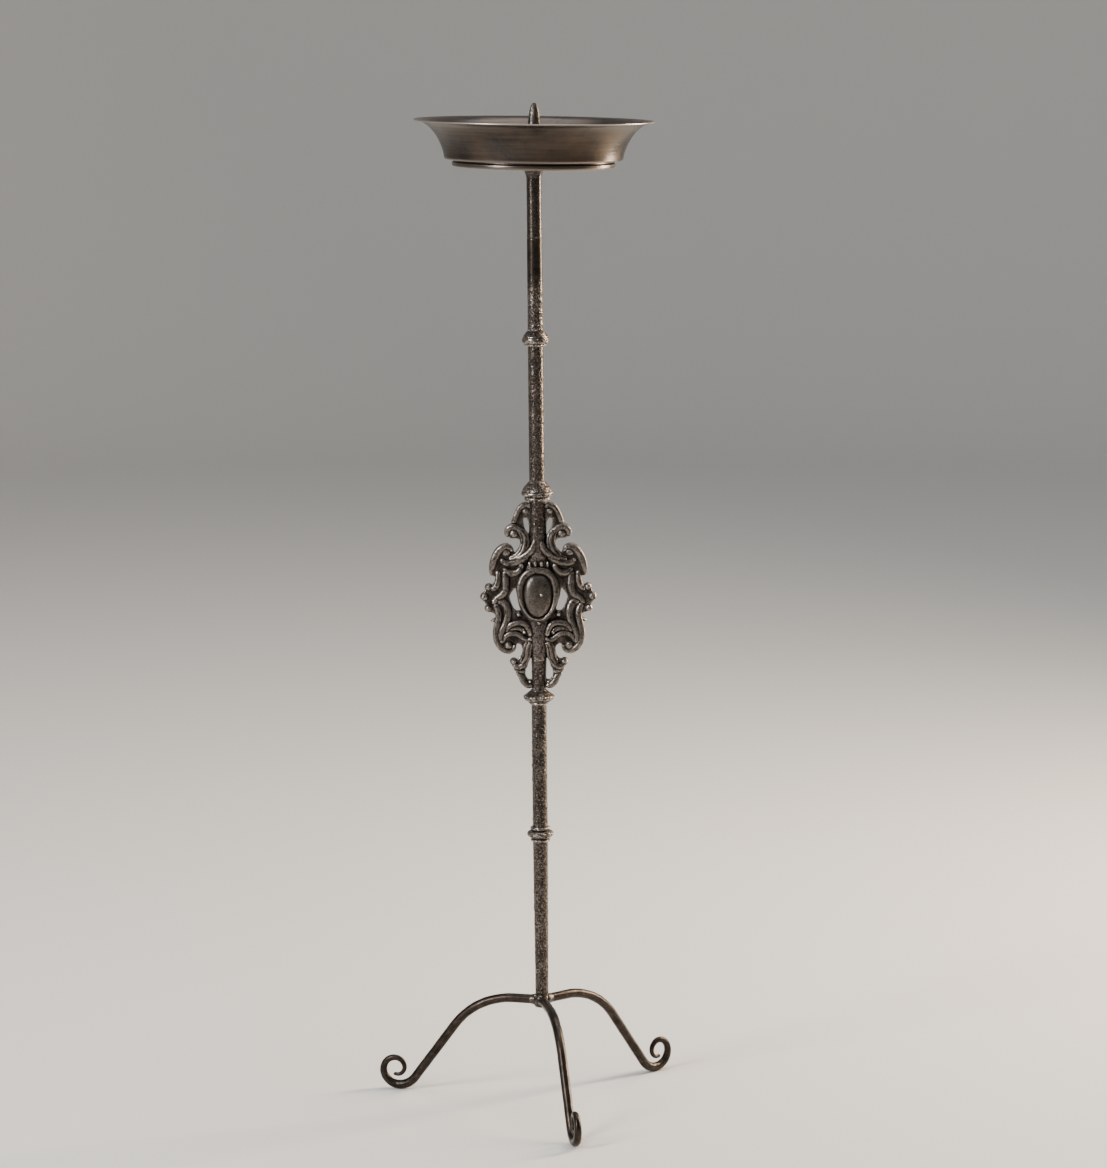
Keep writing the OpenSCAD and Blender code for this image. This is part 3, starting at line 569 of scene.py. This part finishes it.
hub = Shapes()
hub.add(*rod((0, 0, 101), (0, 0, 117), 7.8, 6.4))
hub.add(*ball((0, 0, 108), (9.2, 9.2, 7.2)))
for i, a in enumerate(np.radians(LEG_ANGLE)):
    d = np.array([math.sin(a), -math.cos(a), 0])
    hub.add(*rod(d * 2 + (0, 0, LEG_Z), d * 14 + (0, 0, LEG_Z), 7.4, 4.5))
WELD_NUBS = [(-2.6, -9, 112.6, 2.7), (7.6, -5.2, 110.6, 2.9), (-6.4, -4.6, 113.4, 2.4), (4.4, -8.2, 112.2, 2.0),
             (3.2, 7.8, 112.4, 1.9), (-7.2, 3.8, 111.6, 1.8)]
for x, y, z, r in WELD_NUBS:
    hub.add(*ball((x, y, z), (r, r, r)))
hub_mesh = hub.fused("leg_hub", 0.5, 3, 0.7)
piece("leg_hub", hub_mesh, "stand", "forged_bar", forged_bar, "leg_hub")


# Stem

def rough_skin(depth, size, seed, lump=0.0):
    """Pits of the given depth, with sparse raised lumps where asked."""
    def relief(p):
        raised = np.clip(lumps(p, 2.6, seed + 5) - 0.45, 0, 1) * lump
        return depth * pits(p, size, seed) + 0.25 * depth * (lumps(p, size * 3, seed + 3) + 1) - raised
    return relief


CORE_R, BAR_AROUND, BAR_STEP = 0.3, 96, 0.7


def bar(name, low, high, r_low, r_high, slot, finish, relief):
    """A length of the stem between two heights, with softened ends."""
    outline = [(CORE_R, low), (r_low - 0.4, low), (r_low, low + 0.4), (r_high, high - 0.4), (r_high - 0.4, high),
               (CORE_R, high)]
    mesh = turned(name, outline, STEM, BAR_AROUND, BAR_STEP, relief)
    return piece(name, mesh, "stand", slot, finish, name)


bar("lower_stem", 111, 279.9, 6.9, 8.0, "pitted_bar", pitted_bar, rough_skin(0.32, 1.7, 21, 0.8))
bar("middle_stem", 295.2, 426.4, 8.0, 8.0, "pitted_bar", pitted_bar, rough_skin(0.35, 1.7, 31, 1.0))
neck = [(CORE_R, 441.4), (7.4, 441.4), (7.4, 590), (8.7, 598), (8.8, 616), (8.5, 634), (8.3, 640), (CORE_R, 640)]
mesh = turned("ornament_bar", neck, STEM, BAR_AROUND, BAR_STEP, rough_skin(0.3, 2.2, 41, 1.6))
piece("ornament_bar", mesh, "stand", "pitted_bar", pitted_bar, "ornament_bar")
bar("upper_stem", 660, 800, 8.0, 8.0, "pitted_bar", pitted_bar, rough_skin(0.32, 1.5, 51, 0.3))


def pitted_below(p):
    """The top bar's skin: pitted at its foot, and smooth from a little above that."""
    return np.clip((872 - p[:, 2]) / 20, 0.06, 1) * rough_skin(0.36, 1.5, 61, 0.8)(p)


bar("top_stem", 815.5, 910.1, 8.0, 7.8, "smooth_bar", upper_bar, pitted_below)


def knop(name, z, outline, relief):
    """A turned knop that stands on the height z."""
    shifted = [(r, h + z) for r, h in outline]
    mesh = turned(name, [(CORE_R, z)] + shifted + [(CORE_R, shifted[-1][1])], STEM, 180, 0.45, relief)
    return piece(name, mesh, "stand", "cast_knop", knop_iron, name)


knop("lower_knop", 279.9, band(9.4, 0, 2.2, 1) + [(8.8, 3.2)] + band(9.6, 4, 11.2, 4.4, 16) + [(9, 11.6)]
     + band(9.4, 12, 15.3, 1.1), rough_skin(0.28, 1.5, 71))
knop("foot_knop", 426.4, band(10.2, 0, 2, 0.8) + [(10.8, 2.4), (13, 3), (15.2, 4.6)] + band(15.7, 5.2, 8.6, 0.6)
     + [(12.4, 11), (9.6, 13.2), (8, 15)], rough_skin(0.34, 1.5, 73))
knop("head_knop", 640, [(12.8, 0)] + band(12.9, 0.3, 3.2, 0.5) + [(12.4, 3.6), (15.2, 4.4)]
     + band(15.8, 5, 8.8, 0.7) + [(15.4, 11), (13.6, 14), (11, 16.8), (8.3, 20)], rough_skin(0.38, 1.6, 75))
knop("upper_knop", 802, [(11.6, 0), (12.4, 0.6)] + band(13.2, 1.2, 6.2, 0.85)
     + [(12.8, 7.8), (10.9, 10.5), (8.4, 13.5)], rough_skin(0.3, 1.5, 77))
knop("knop_washer", 800, band(11, 0, 2, 0.7), rough_skin(0.15, 1.5, 79))

sleeve = [(CORE_R, 910.2), (7.55, 910.2), (7.75, 910.8), (7.8, 912), (7.6, 918.2), (7.6, 970.9), (8.2, 974.1),
          (9.4, 977.6), (11.4, 981.6), (14.2, 984.8), (16.7, 986.6), (16.9, 987.4), (16.6, 989.3), (CORE_R, 989.3)]
mesh = turned("head_sleeve", sleeve, STEM, 128, 0.7, rough_skin(0.06, 1.6, 81))
piece("head_sleeve", mesh, "stand", "smooth_bar", smooth_bar, "head_sleeve")


# Ornament

# Each strand of one side: its number of ridges, then stations of [aside, up, half width, half depth].
STRANDS = [
    # neck scroll, hooked scroll with its fluted stem, and large volute
    (1, [(24.6, 79.2, 2.2, 4.5), (22.3, 85.6, 2.4, 5), (19.4, 92, 2.4, 5.4), (15.4, 96.1, 2.3, 5.4),
         (11.2, 97, 2, 5),
         (8.6, 95, 1.5, 4.6)]),
    (1, [(32.4, 65.5, 1.9, 4.5), (31.6, 70.4, 2.6, 5.4), (27.3, 74, 2.8, 6.2), (21.8, 73.6, 2.7, 6.4),
         (17.2, 70.2, 2.6, 6.6)]),
    (3, [(18.2, 71, 2.8, 6), (14.2, 65.4, 3.6, 7), (13.2, 59.2, 4, 7.4), (14.8, 51.7, 4.1, 7.8),
         (18.6, 45.4, 4.2, 7.4),
         (24, 41.6, 3.4, 6.7), (29.6, 40.6, 2, 5.6)]),
    (1, [(49.2, 24.4, 1.2, 3.4), (47.8, 33, 3, 5.4), (44.4, 43, 3.5, 6.4), (40.2, 49.6, 3.3, 6.8),
         (34.6, 53.4, 2.7, 6.6),
         (29.4, 52.6, 2, 6), (27.2, 49, 1.4, 5)]),
    # crescent leaves
    (1, [(12, 43.4, 2.6, 9.4), (16.8, 39.8, 3.1, 8.8), (22.2, 37.4, 3.2, 7.8), (28.8, 36.2, 3, 6.9),
         (34.6, 37.2, 2.5, 6.2),
         (38.2, 40.4, 1.5, 5.4)]),
    (1, [(16.8, 35, 2.2, 8.8), (19.4, 28.8, 3, 8.4), (24.8, 26, 3.5, 7.4), (30.6, 26.8, 3.1, 6.6),
         (35, 29.8, 1.9, 5.4)]),
    # S-strands
    (1, [(34.2, 27, 2.8, 5.6), (33.8, 17.9, 3.6, 6.7), (33.8, 10.4, 3.7, 7), (36.9, 3.8, 3.4, 6.6),
         (42.7, -0.5, 2.8, 6),
         (46.6, -4.6, 2.3, 5.5)]),
    (1, [(41.8, 27, 2.3, 4.8), (41.8, 19.6, 2.8, 5.6), (43.6, 12.6, 2.8, 6), (47.4, 9, 2.2, 5.4)]),
    # fluted leaf and lower volute
    (1, [(41, -3.4, 3, 5.6), (36, -5, 3.6, 6.2), (32.6, -10.6, 3.6, 7), (32.2, -18.1, 3.6, 7),
         (34, -26.1, 3.3, 7),
         (37.8, -33.6, 2.8, 7), (39.6, -40.5, 2.3, 6.7), (38.6, -46.6, 1.8, 6.4)]),
    (1, [(44.6, -7.2, 2.6, 5.2), (41.6, -13.9, 3, 6), (41.6, -20.9, 3, 6.4), (43.6, -29.5, 3, 6.5),
         (44.6, -37.7, 3, 6.5),
         (43.2, -46.5, 3, 6.5), (38.8, -53, 2.9, 6.3), (32.4, -56.2, 2.6, 6), (27, -54.4, 2.1, 5.4),
         (25, -50.6, 1.5, 5)]),
    (1, [(42, -22.1, 2.2, 5.5), (46.1, -23.8, 1.6, 4), (49.4, -24.6, 0.6, 2)]),
    # hooked leaves
    (1, [(37.8, -46.6, 1.4, 5.5), (35.2, -41.3, 1.9, 6.3), (29.7, -37.6, 2.1, 7), (22.3, -38, 2.2, 7.2),
         (16.3, -42, 2.1, 7.4),
         (11.4, -44.6, 2, 8), (7.6, -42.4, 1.5, 8.4)]),
    (1, [(34, -34.5, 1.8, 6.4), (31, -30, 2.3, 7.2), (26.7, -27.2, 2.5, 7.8), (19.6, -25.8, 2.6, 8.4),
         (13.8, -27.8, 2.5, 8.8),
         (10.4, -32.8, 2.2, 9), (8.4, -39, 1.9, 8.8)]),
    (1, [(31.6, -34.6, 1.3, 5.6), (26.6, -32.4, 1.8, 6), (20.6, -32.2, 2, 6.4), (15.6, -34.4, 2, 7.2)]),
    # small scroll with its fluted stem, and lowest leaf
    (3, [(9.4, -46.6, 3, 8.6), (11.8, -52, 4, 8), (12.8, -58, 4.2, 7.4), (14, -64, 3.9, 6.8),
         (17.4, -69, 3, 6)]),
    (1, [(13, -66.5, 2.2, 6.2), (16.4, -70.8, 2.8, 6.3), (21, -72.8, 2.8, 6), (25.6, -71.4, 2.4, 5.2)]),
    (1, [(23, -79.8, 1.2, 3.8), (18.6, -83.4, 3, 4.8), (16.4, -88.2, 3.3, 5.2), (12.8, -92.2, 3, 5.2),
         (8.2, -93.2, 2.2, 4.8)]),
    (1, [(25.4, -75.6, 1, 3.6), (20.6, -77.4, 1.6, 4.4), (15.6, -77.8, 1.5, 4.6)]),
    # arm from the neck to the shoulder of the crown
    (1, [(2.5, 60, 2.6, 8.6), (5.4, 52.4, 3, 10.2), (10, 47, 3, 10.2), (16, 43.2, 2.6, 9.2), (22, 41, 2, 7.8)]),
]
# Beads and volute eyes: aside, up, radius, half depth.
BEADS = [(12.8, 90.6, 4.6, 4.4), (24.8, 79.6, 2.8, 4.8), (24.6, 67, 5.6, 5.2), (32.8, 48.4, 6, 6),
         (51.4, 10.8, 4.4, 5.6), (44.4, 12.4, 2.6, 6.4), (55.9, 1, 4.9, 5.8), (52, -11.2, 4.3, 5.4),
         (31.6, -50.4, 5.4, 6.8), (14.9, -36, 3.4, 8.6), (20.6, -17.4, 3.9, 7.8), (26.4, -67.4, 4.2, 5.8),
         (9.6, -88.8, 2.6, 5), (38, -3.6, 4.6, 6)]
# Outlines of the flat web of one side, which ends inside the bar, and of the openings through it.
WEB = [(3, 96), (12.2, 98.5), (18.4, 95.8), (21.8, 88.3), (22.6, 82.4), (26.4, 79), (29, 74.8), (32.4, 72),
       (33, 67), (29.6, 62.4), (23, 62), (18.9, 59.4), (19.4, 53.4), (24.1, 47), (26.5, 53), (32.1, 56),
       (39.3, 54.4), (44.4, 47.2), (47.6, 34.7), (49.4, 24.2), (45.2, 22), (44, 17.4), (48.3, 13.6),
       (53.6, 11), (56.6, 5), (57.6, -2), (54, -8.4), (52, -14.4), (45.9, -17), (44.8, -22), (46, -28.6),
       (45.4, -37.4), (42.6, -47.4), (37.8, -55.4), (30.4, -57.4), (25.2, -54), (22.4, -48.6),
       (17.9, -51.6), (17.6, -59), (22, -64.5), (28, -66), (28.6, -70), (25.4, -75), (22, -79), (21, -82.6),
       (18.9, -89.3), (14.8, -93.8), (9.8, -94.5), (3, -91)]
OPENINGS = [
    [(24.1, 10.5), (29.8, 1.8), (28.6, -5), (25, -12.4), (20.2, -14.6), (18.5, -10.9), (21.8, -0.5)],
    [(11.6, 83.2), (14.6, 82.4), (14.2, 74.9), (10.6, 64.5), (9, 64.5), (9.2, 78.2)],
    [(8, -62.5), (10.6, -67.5), (12.4, -73.2), (14.4, -77.9), (13.2, -84.3), (9, -87.3), (7.3, -84.3)],
]
BOSS_W, BOSS_H, SHIELD_FACE, WEB_HALF, WEB_EDGE = 14.2, 22.0, 10.0, 3.2, 0.8
SIDEWAYS = 0.5
# for one or three ridges: how far aside, how wide and how proud each one is
RIDGES = {1: [(0, 1, 0)], 3: [(-0.6, 0.46, -0.3), (0, 0.46, 0.3), (0.6, 0.46, -0.8)]}
STRAND_AROUND, CROWN = 14, 0.7


def strand(shapes, rows, mirror, flutes):
    """A leaf of the casting: one round ridge, or three ridges side by side with flutes between."""
    s = curve(rows, 6)
    s[:, 2] = s[:, 2] + 0.35
    d = np.gradient(s[:, :2], axis=0)
    d /= np.linalg.norm(d, axis=1)[:, None]
    aside = np.stack([-d[:, 1] * mirror, 0 * d[:, 0], d[:, 0]], axis=1)
    middle = np.stack([s[:, 0] * mirror + SIDEWAYS, 0 * s[:, 0], s[:, 1]], axis=1)
    along = np.repeat([[0, -1.0, 0]], len(s), 0)
    for off, share, rise in RIDGES[flutes]:
        centres = middle + aside * (s[:, 2] * off)[:, None]
        radii = np.stack([s[:, 2] * share, s[:, 3] + rise], axis=1)
        p, f = swept(centres, aside, along, radii, STRAND_AROUND, CROWN)
        shapes.add(p, f if mirror > 0 else [q[::-1] for q in f])
        for end in (0, -1):
            shapes.add(*ball(centres[end], (radii[end, 0], radii[end, 1], radii[end, 0]), 8))
    if flutes > 1:
        bed = np.stack([s[:, 2] * 0.9, s[:, 3] - 1.1], axis=1)
        p, f = swept(middle, aside, along, bed, STRAND_AROUND)
        shapes.add(p, f if mirror > 0 else [q[::-1] for q in f])


def upright(rows, around=48):
    """A closed upright body with oval sections: each row is a height and two half widths."""
    a = 2 * math.pi * np.arange(around) / around
    p = np.concatenate([np.stack([rx * np.cos(a) + SIDEWAYS, ry * np.sin(a), np.full(around, z)], axis=1)
                        for z, rx, ry in rows])
    faces = tube_faces(len(rows), around)
    faces += [list(range(around))[::-1], [(len(rows) - 1) * around + j for j in range(around)]]
    return p, faces


def web(mirror):
    """The flat web of one side with its openings, as a closed mesh."""
    data = bpy.data.curves.new("web", "CURVE")
    data.dimensions = "2D"
    data.fill_mode = "BOTH"
    data.extrude = (WEB_HALF - WEB_EDGE) * MM
    data.bevel_depth = WEB_EDGE * MM
    data.offset = -WEB_EDGE * MM
    for outline in [WEB] + OPENINGS:
        s = curve(outline, 4)
        spline = data.splines.new("POLY")
        spline.points.add(len(s) - 1)
        for point, (x, z) in zip(spline.points, s):
            point.co = (x * MM, z * MM, 0, 1)
        spline.use_cyclic_u = True
    obj = bpy.data.objects.new("web", data)
    bpy.context.scene.collection.objects.link(obj)
    done = obj.evaluated_get(bpy.context.evaluated_depsgraph_get())
    made = bpy.data.meshes.new_from_object(done)
    bpy.data.objects.remove(obj)
    p = np.array([v.co for v in made.vertices]) / MM
    p = np.stack([p[:, 0] * mirror + SIDEWAYS, p[:, 2], p[:, 1]], axis=1)
    faces = [list(q.vertices) for q in made.polygons]
    return p, faces if mirror < 0 else [q[::-1] for q in faces]


def egg(a, w, h):
    """Points on the outline of the shield and its boss: square in the shoulders, narrow at the foot."""
    c, s = np.cos(a), np.sin(a)
    side_power, end_power = np.where(s > 0, 0.78, 0.94), np.where(s > 0, 0.86, 1)
    return w * np.sign(c) * np.abs(c) ** side_power * (1 + 0.06 * s), h * np.sign(s) * np.abs(s) ** end_power


def egg_stack(rows, w, h, z, around=72):
    """A stack of egg outlines from one side to the other: each row is a distance out and a scale."""
    a = 2 * math.pi * np.arange(around) / around
    points = []
    for out, scale in rows:
        x, up = egg(a, w * scale, h * scale)
        points.append(np.stack([x, np.full(around, -out), up + z], axis=1))
    faces = tube_faces(len(rows), around)
    faces.append(list(range(around))[::-1])
    faces.append([(len(rows) - 1) * around + j for j in range(around)])
    return np.concatenate(points), faces


casting = Shapes()
for mirror in (1, -1):
    casting.add(*web(mirror))
    for flutes, rows in STRANDS:
        strand(casting, rows, mirror, flutes)
    for x, z, r, depth in BEADS:
        casting.add(*ball((x * mirror + SIDEWAYS, 0, z), (r, depth, r), 10))
shield_z = BOSS_Z - CASTING_Z
casting.add(*egg_stack([(-SHIELD_FACE, 0.93), (-8, 0.98), (-4, 1), (4, 1), (8, 0.98), (SHIELD_FACE, 0.93)],
                       BOSS_W + 7.6, BOSS_H + 6.8, shield_z))
# the frame round each boss: broad over the top and sides, a thin rim below
a = np.linspace(0, 2 * math.pi, 97)
broad = np.clip(0.5 + 0.75 * np.sin(a) + 0.3, 0, 1)
half = 1.3 + 2.3 * broad
ex, ez = egg(a, BOSS_W, BOSS_H)
normal = np.stack([BOSS_H * np.cos(a), BOSS_W * np.sin(a)], axis=1)
normal /= np.linalg.norm(normal, axis=1)[:, None]
rim = np.stack([ex, ez], axis=1) + normal * (1.1 + half)[:, None]
for out in (1, -1):
    centres = np.stack([rim[:, 0], 0 * ex - out * SHIELD_FACE, rim[:, 1] + shield_z], axis=1)
    across = np.stack([normal[:, 0], 0 * ex, normal[:, 1]], axis=1)
    radii = np.stack([half, 0 * half + 2.7], axis=1)
    casting.add(*swept(centres, across, np.repeat([[0, 1.0, 0]], len(a), 0), radii, 16))
# crown above the shield, and the leaf below it
casting.add(*upright([(98, 7.6, 7.6), (64, 8.6, 8.6), (57, 8.9, 8.9), (50, 9.6, 9.4), (45, 10.6, 9.4),
                      (40, 11.4, 8.6), (35, 12.6, 8.4), (30, 15, 9), (24, 16, 9)]))
for x, r in ((-8.4, 1.5), (-2.2, 1.9), (4.2, 1.9), (10.2, 1.5)):
    for side in (-1, 1):
        casting.add(*ball((x, side * 9.3, 35.8), (r, 2.2, 3), 9))
casting.add(*upright([(-18, 13, 9), (-24, 12.4, 9.8), (-31, 10.4, 9.9), (-40, 9.4, 9.6), (-50, 11, 8.8),
                      (-57, 9.4, 8.2), (-66, 7.4, 7.4)]))
for side in (-1, 1):
    casting.add(*ball((0.8, side * 9.6, -26), (1.7, 1.6, 1.7), 8))
whole = casting.fused("openwork", 0.40, 2, 0.30)


def half_casting(name, out):
    """One half of the casting, front or back, cut at the middle plane and clear of the bar."""
    bm = bmesh.new()
    bm.from_mesh(whole)
    geom = bm.verts[:] + bm.edges[:] + bm.faces[:]
    cut = bmesh.ops.bisect_plane(bm, geom=geom, dist=1e-7, plane_co=(0, -out * 0.05 * MM, 0), plane_no=(0, out, 0),
                                 clear_outer=True)
    edges = [e for e in cut["geom_cut"] if isinstance(e, bmesh.types.BMEdge)]
    bmesh.ops.triangle_fill(bm, edges=edges, use_beauty=True, normal=(0, out, 0))
    mesh = bpy.data.meshes.new(name)
    bm.to_mesh(mesh)
    bm.free()
    place = STEM @ Matrix.Translation((0, 0, CASTING_Z))
    place.translation *= MM
    mesh.transform(place)
    return piece(name, mesh, "stand", "cast_openwork", openwork_iron, name)


half_casting("ornament_front", 1)
half_casting("ornament_back", -1)


def boss(name, out):
    """The plain egg-shaped boss, domed, with a soft edge."""
    rise = 6.5
    rows = [(SHIELD_FACE - 0.4, 0.97), (SHIELD_FACE, 1.0)]
    rows += [(SHIELD_FACE + 0.5 + (rise - 0.5) * math.sin(b), 0.998 * math.cos(b) ** 0.72)
             for b in np.linspace(0.05, 1.53, int(40 / COARSE))]
    p, f = egg_stack(rows, BOSS_W, BOSS_H, 0, 160)
    n = (lumps(p, 1.6, 91) + 1) * 0.04
    p[:, 1] += n
    if out < 0:
        p[:, 1] *= -1
        f = [q[::-1] for q in f]
    mesh = make_mesh(name, p, f, STEM @ Matrix.Translation((0, 0, BOSS_Z)))
    return piece(name, mesh, "stand", "boss_iron", boss_iron, name)


boss("boss_front", 1)
boss("boss_back", -1)

rivet = Shapes()
for out in (-1, 1):
    rivet.add(*ball((3.5, out * 16.2, BOSS_Z + 2), (1.5, 1.0, 1.4), 10))
rivet.add(*rod((3.5, -15.5, BOSS_Z + 2), (3.5, 15.5, BOSS_Z + 2), 1.25, 1.25))
piece("boss_rivet", make_mesh("boss_rivet", np.concatenate(rivet.points), rivet.faces, STEM), "stand",
      "bright_rivet", rivet_iron, "boss_rivet")


# Pan and spike

def wall(a, inside):
    """A point on the bowl's wall, from 0 at the base to a quarter turn at the lip."""
    lean, flare = 6.0, PAN_R - PAN_BASE_R - 6.0
    r = PAN_BASE_R + lean * math.sin(a) + flare * (1 - math.cos(a))
    z = PAN_H * math.sin(a)
    if inside:
        run, rise = lean * math.cos(a) + flare * math.sin(a), PAN_H * math.cos(a)
        t = (PAN_T + (1.4 - PAN_T) * a / (math.pi / 2)) / math.hypot(run, rise)
        r, z = r - t * rise, z + t * run
    return r, z


steps = np.linspace(0, math.pi / 2, 40)[1:]
section = [(7.2, 0), (PAN_BASE_R - 1.2, 0), (PAN_BASE_R - 0.3, 0.4)] + [wall(a, False) for a in steps]
section += [(PAN_R + 0.35, PAN_H + 0.25), (PAN_R + 0.5, PAN_H + 0.7), (PAN_R + 0.3, PAN_H + 1.2)]
section += [wall(a, True) for a in steps[::-1]]
section += [(PAN_BASE_R - 2.6, PAN_T + 0.6), (PAN_BASE_R - 4.4, PAN_T), (7.2, PAN_T)]


def spun_skin(p):
    """Faint waves round the wall where the spinner's tool paused."""
    near = np.clip((p[:, 2] - 3) / 6, 0, 1) * np.clip((PAN_H - 1 - p[:, 2]) / 6, 0, 1)
    return 0.015 * near * (1 + np.sin(p[:, 2] * 1.9)) + 0.06 * near * (lumps(p, 24, 95) + 1)


pan_mesh = turned("drip_pan", section, SEAT, 288, 1.3, spun_skin, ring=True)
piece("drip_pan", pan_mesh, "pan", "spun_pan", pan_iron, "drip_pan")

RING_R, RING_H = 83.3, 7.4
foot_ring = [(RING_R - 9, -RING_H), (RING_R - 2, -RING_H), (RING_R - 1.1, 0.25 - RING_H),
             (RING_R - 0.4, 0.9 - RING_H), (RING_R, 2 - RING_H), (RING_R, -3.4), (RING_R - 0.3, -2.8),
             (RING_R - 0.9, -2.4), (RING_R - 2.8, -2.3), (RING_R - 2.8, -0.01), (RING_R - 9, -0.01)]
ring_mesh = turned("pan_foot_ring", foot_ring, SEAT, 288, 1.0, None, ring=True)
piece("pan_foot_ring", ring_mesh, "pan", "spun_pan", pan_iron, "pan_foot_ring")

SPIKE_R, NOSE_Z, TIP_Z = 6.5, 32.4, 58.0
spike = [(0.3, 0), (6.2, 0), (6.2, 2.3), (6.5, 2.6)]
spike += [(SPIKE_R * math.sqrt(1 - s ** 2.2), NOSE_Z + (TIP_Z - NOSE_Z) * s) for s in np.linspace(0, 0.985, 24)]
spike += [(0.5, TIP_Z - 0.05)]


def forged_spike(p):
    """Soft flats round the spike and dents from the hammer."""
    turn = np.arctan2(p[:, 1], p[:, 0])
    flats = 0.1 * (1 + np.cos(7 * turn + 0.5)) * np.clip(p[:, 2] / 10, 0, 1)
    return np.where(p[:, 2] < TIP_Z - 1, flats + 0.18 * pits(p, 2.2, 97) + 0.12 * (lumps(p, 5, 99) + 1), 0)


spike_mesh = turned("pricket", spike, SEAT, 96, 0.5, forged_spike)
piece("pricket", spike_mesh, "stand", "forged_bar", forged_bar, "pricket")


# Room, light and camera

FLOOR_R, BEND, WALL_TOP, ROOM_SIDES = 5.4, 2.0, 6.0, 96
rows = [(r, 0.0) for r in np.linspace(0.4, FLOOR_R, 10)]
rows += [(FLOOR_R + BEND * math.sin(a), BEND * (1 - math.cos(a))) for a in np.linspace(0, math.pi / 2, 14)[1:]]
rows += [(FLOOR_R + BEND, z) for z in np.linspace(BEND, WALL_TOP, 4)[1:]]
a = 2 * math.pi * np.arange(ROOM_SIDES) / ROOM_SIDES
points = np.concatenate([np.stack([r * np.cos(a), r * np.sin(a), np.full(ROOM_SIDES, z)], axis=1)
                         for r, z in rows])
faces = [f[::-1] for f in tube_faces(len(rows), ROOM_SIDES)] + [list(range(ROOM_SIDES))]
room = bpy.data.meshes.new("room")
room.from_pydata(points.tolist(), [], faces)
room.shade_smooth()
floor = bpy.data.objects.new("room", room)
bpy.context.scene.collection.objects.link(floor)
pale = bpy.data.materials.new("Pale floor")
pale.use_nodes = True
floor_shader = pale.node_tree.nodes["Principled BSDF"]
floor_shader.inputs["Base Color"].default_value = (0.62, 0.61, 0.59, 1)
floor_shader.inputs["Roughness"].default_value = 0.75
room.materials.append(pale)


def softbox(name, at, toward, size, power, colour=(1, 1, 1)):
    """A rectangular studio light aimed at a point; places and sizes are in metres."""
    data = bpy.data.lights.new(name, "AREA")
    data.shape = "RECTANGLE"
    data.size, data.size_y = size
    data.energy = power
    data.color = colour
    lamp = bpy.data.objects.new(name, data)
    lamp.location = at
    lamp.rotation_euler = (Vector(toward) - Vector(at)).to_track_quat("-Z", "Y").to_euler()
    bpy.context.scene.collection.objects.link(lamp)


softbox("key", (-2.4, -2.0, 2.0), (0, 0, 0.6), (0.7, 2.2), 170)
softbox("rim", (2.0, 1.0, 1.2), (0, 0, 0.6), (0.5, 2.2), 170, (1, 0.8, 0.58))
softbox("top", (0.2, 0.6, 3.6), (0, 0.6, 0), (2.4, 2.4), 80)
world = bpy.data.worlds.new("studio")
world.use_nodes = True
sky = world.node_tree.nodes["Background"]
sky.inputs["Color"].default_value = (0.8, 0.82, 0.85, 1)
sky.inputs["Strength"].default_value = 0.35
bpy.context.scene.world = world

FOCAL_PIXELS, PHOTO_PIXELS, SENSOR, LOOK_DOWN = 3750, 1168, 36, 9.06
camera_data = bpy.data.cameras.new("camera")
camera_data.lens = FOCAL_PIXELS * SENSOR / PHOTO_PIXELS
camera_data.sensor_width = SENSOR
camera = bpy.data.objects.new("camera", camera_data)
camera.location = Vector((12.1, -3839.5, 1164.4)) * MM
camera.rotation_euler = (math.radians(90 - LOOK_DOWN), 0, 0)
bpy.context.scene.collection.objects.link(camera)
bpy.context.scene.camera = camera
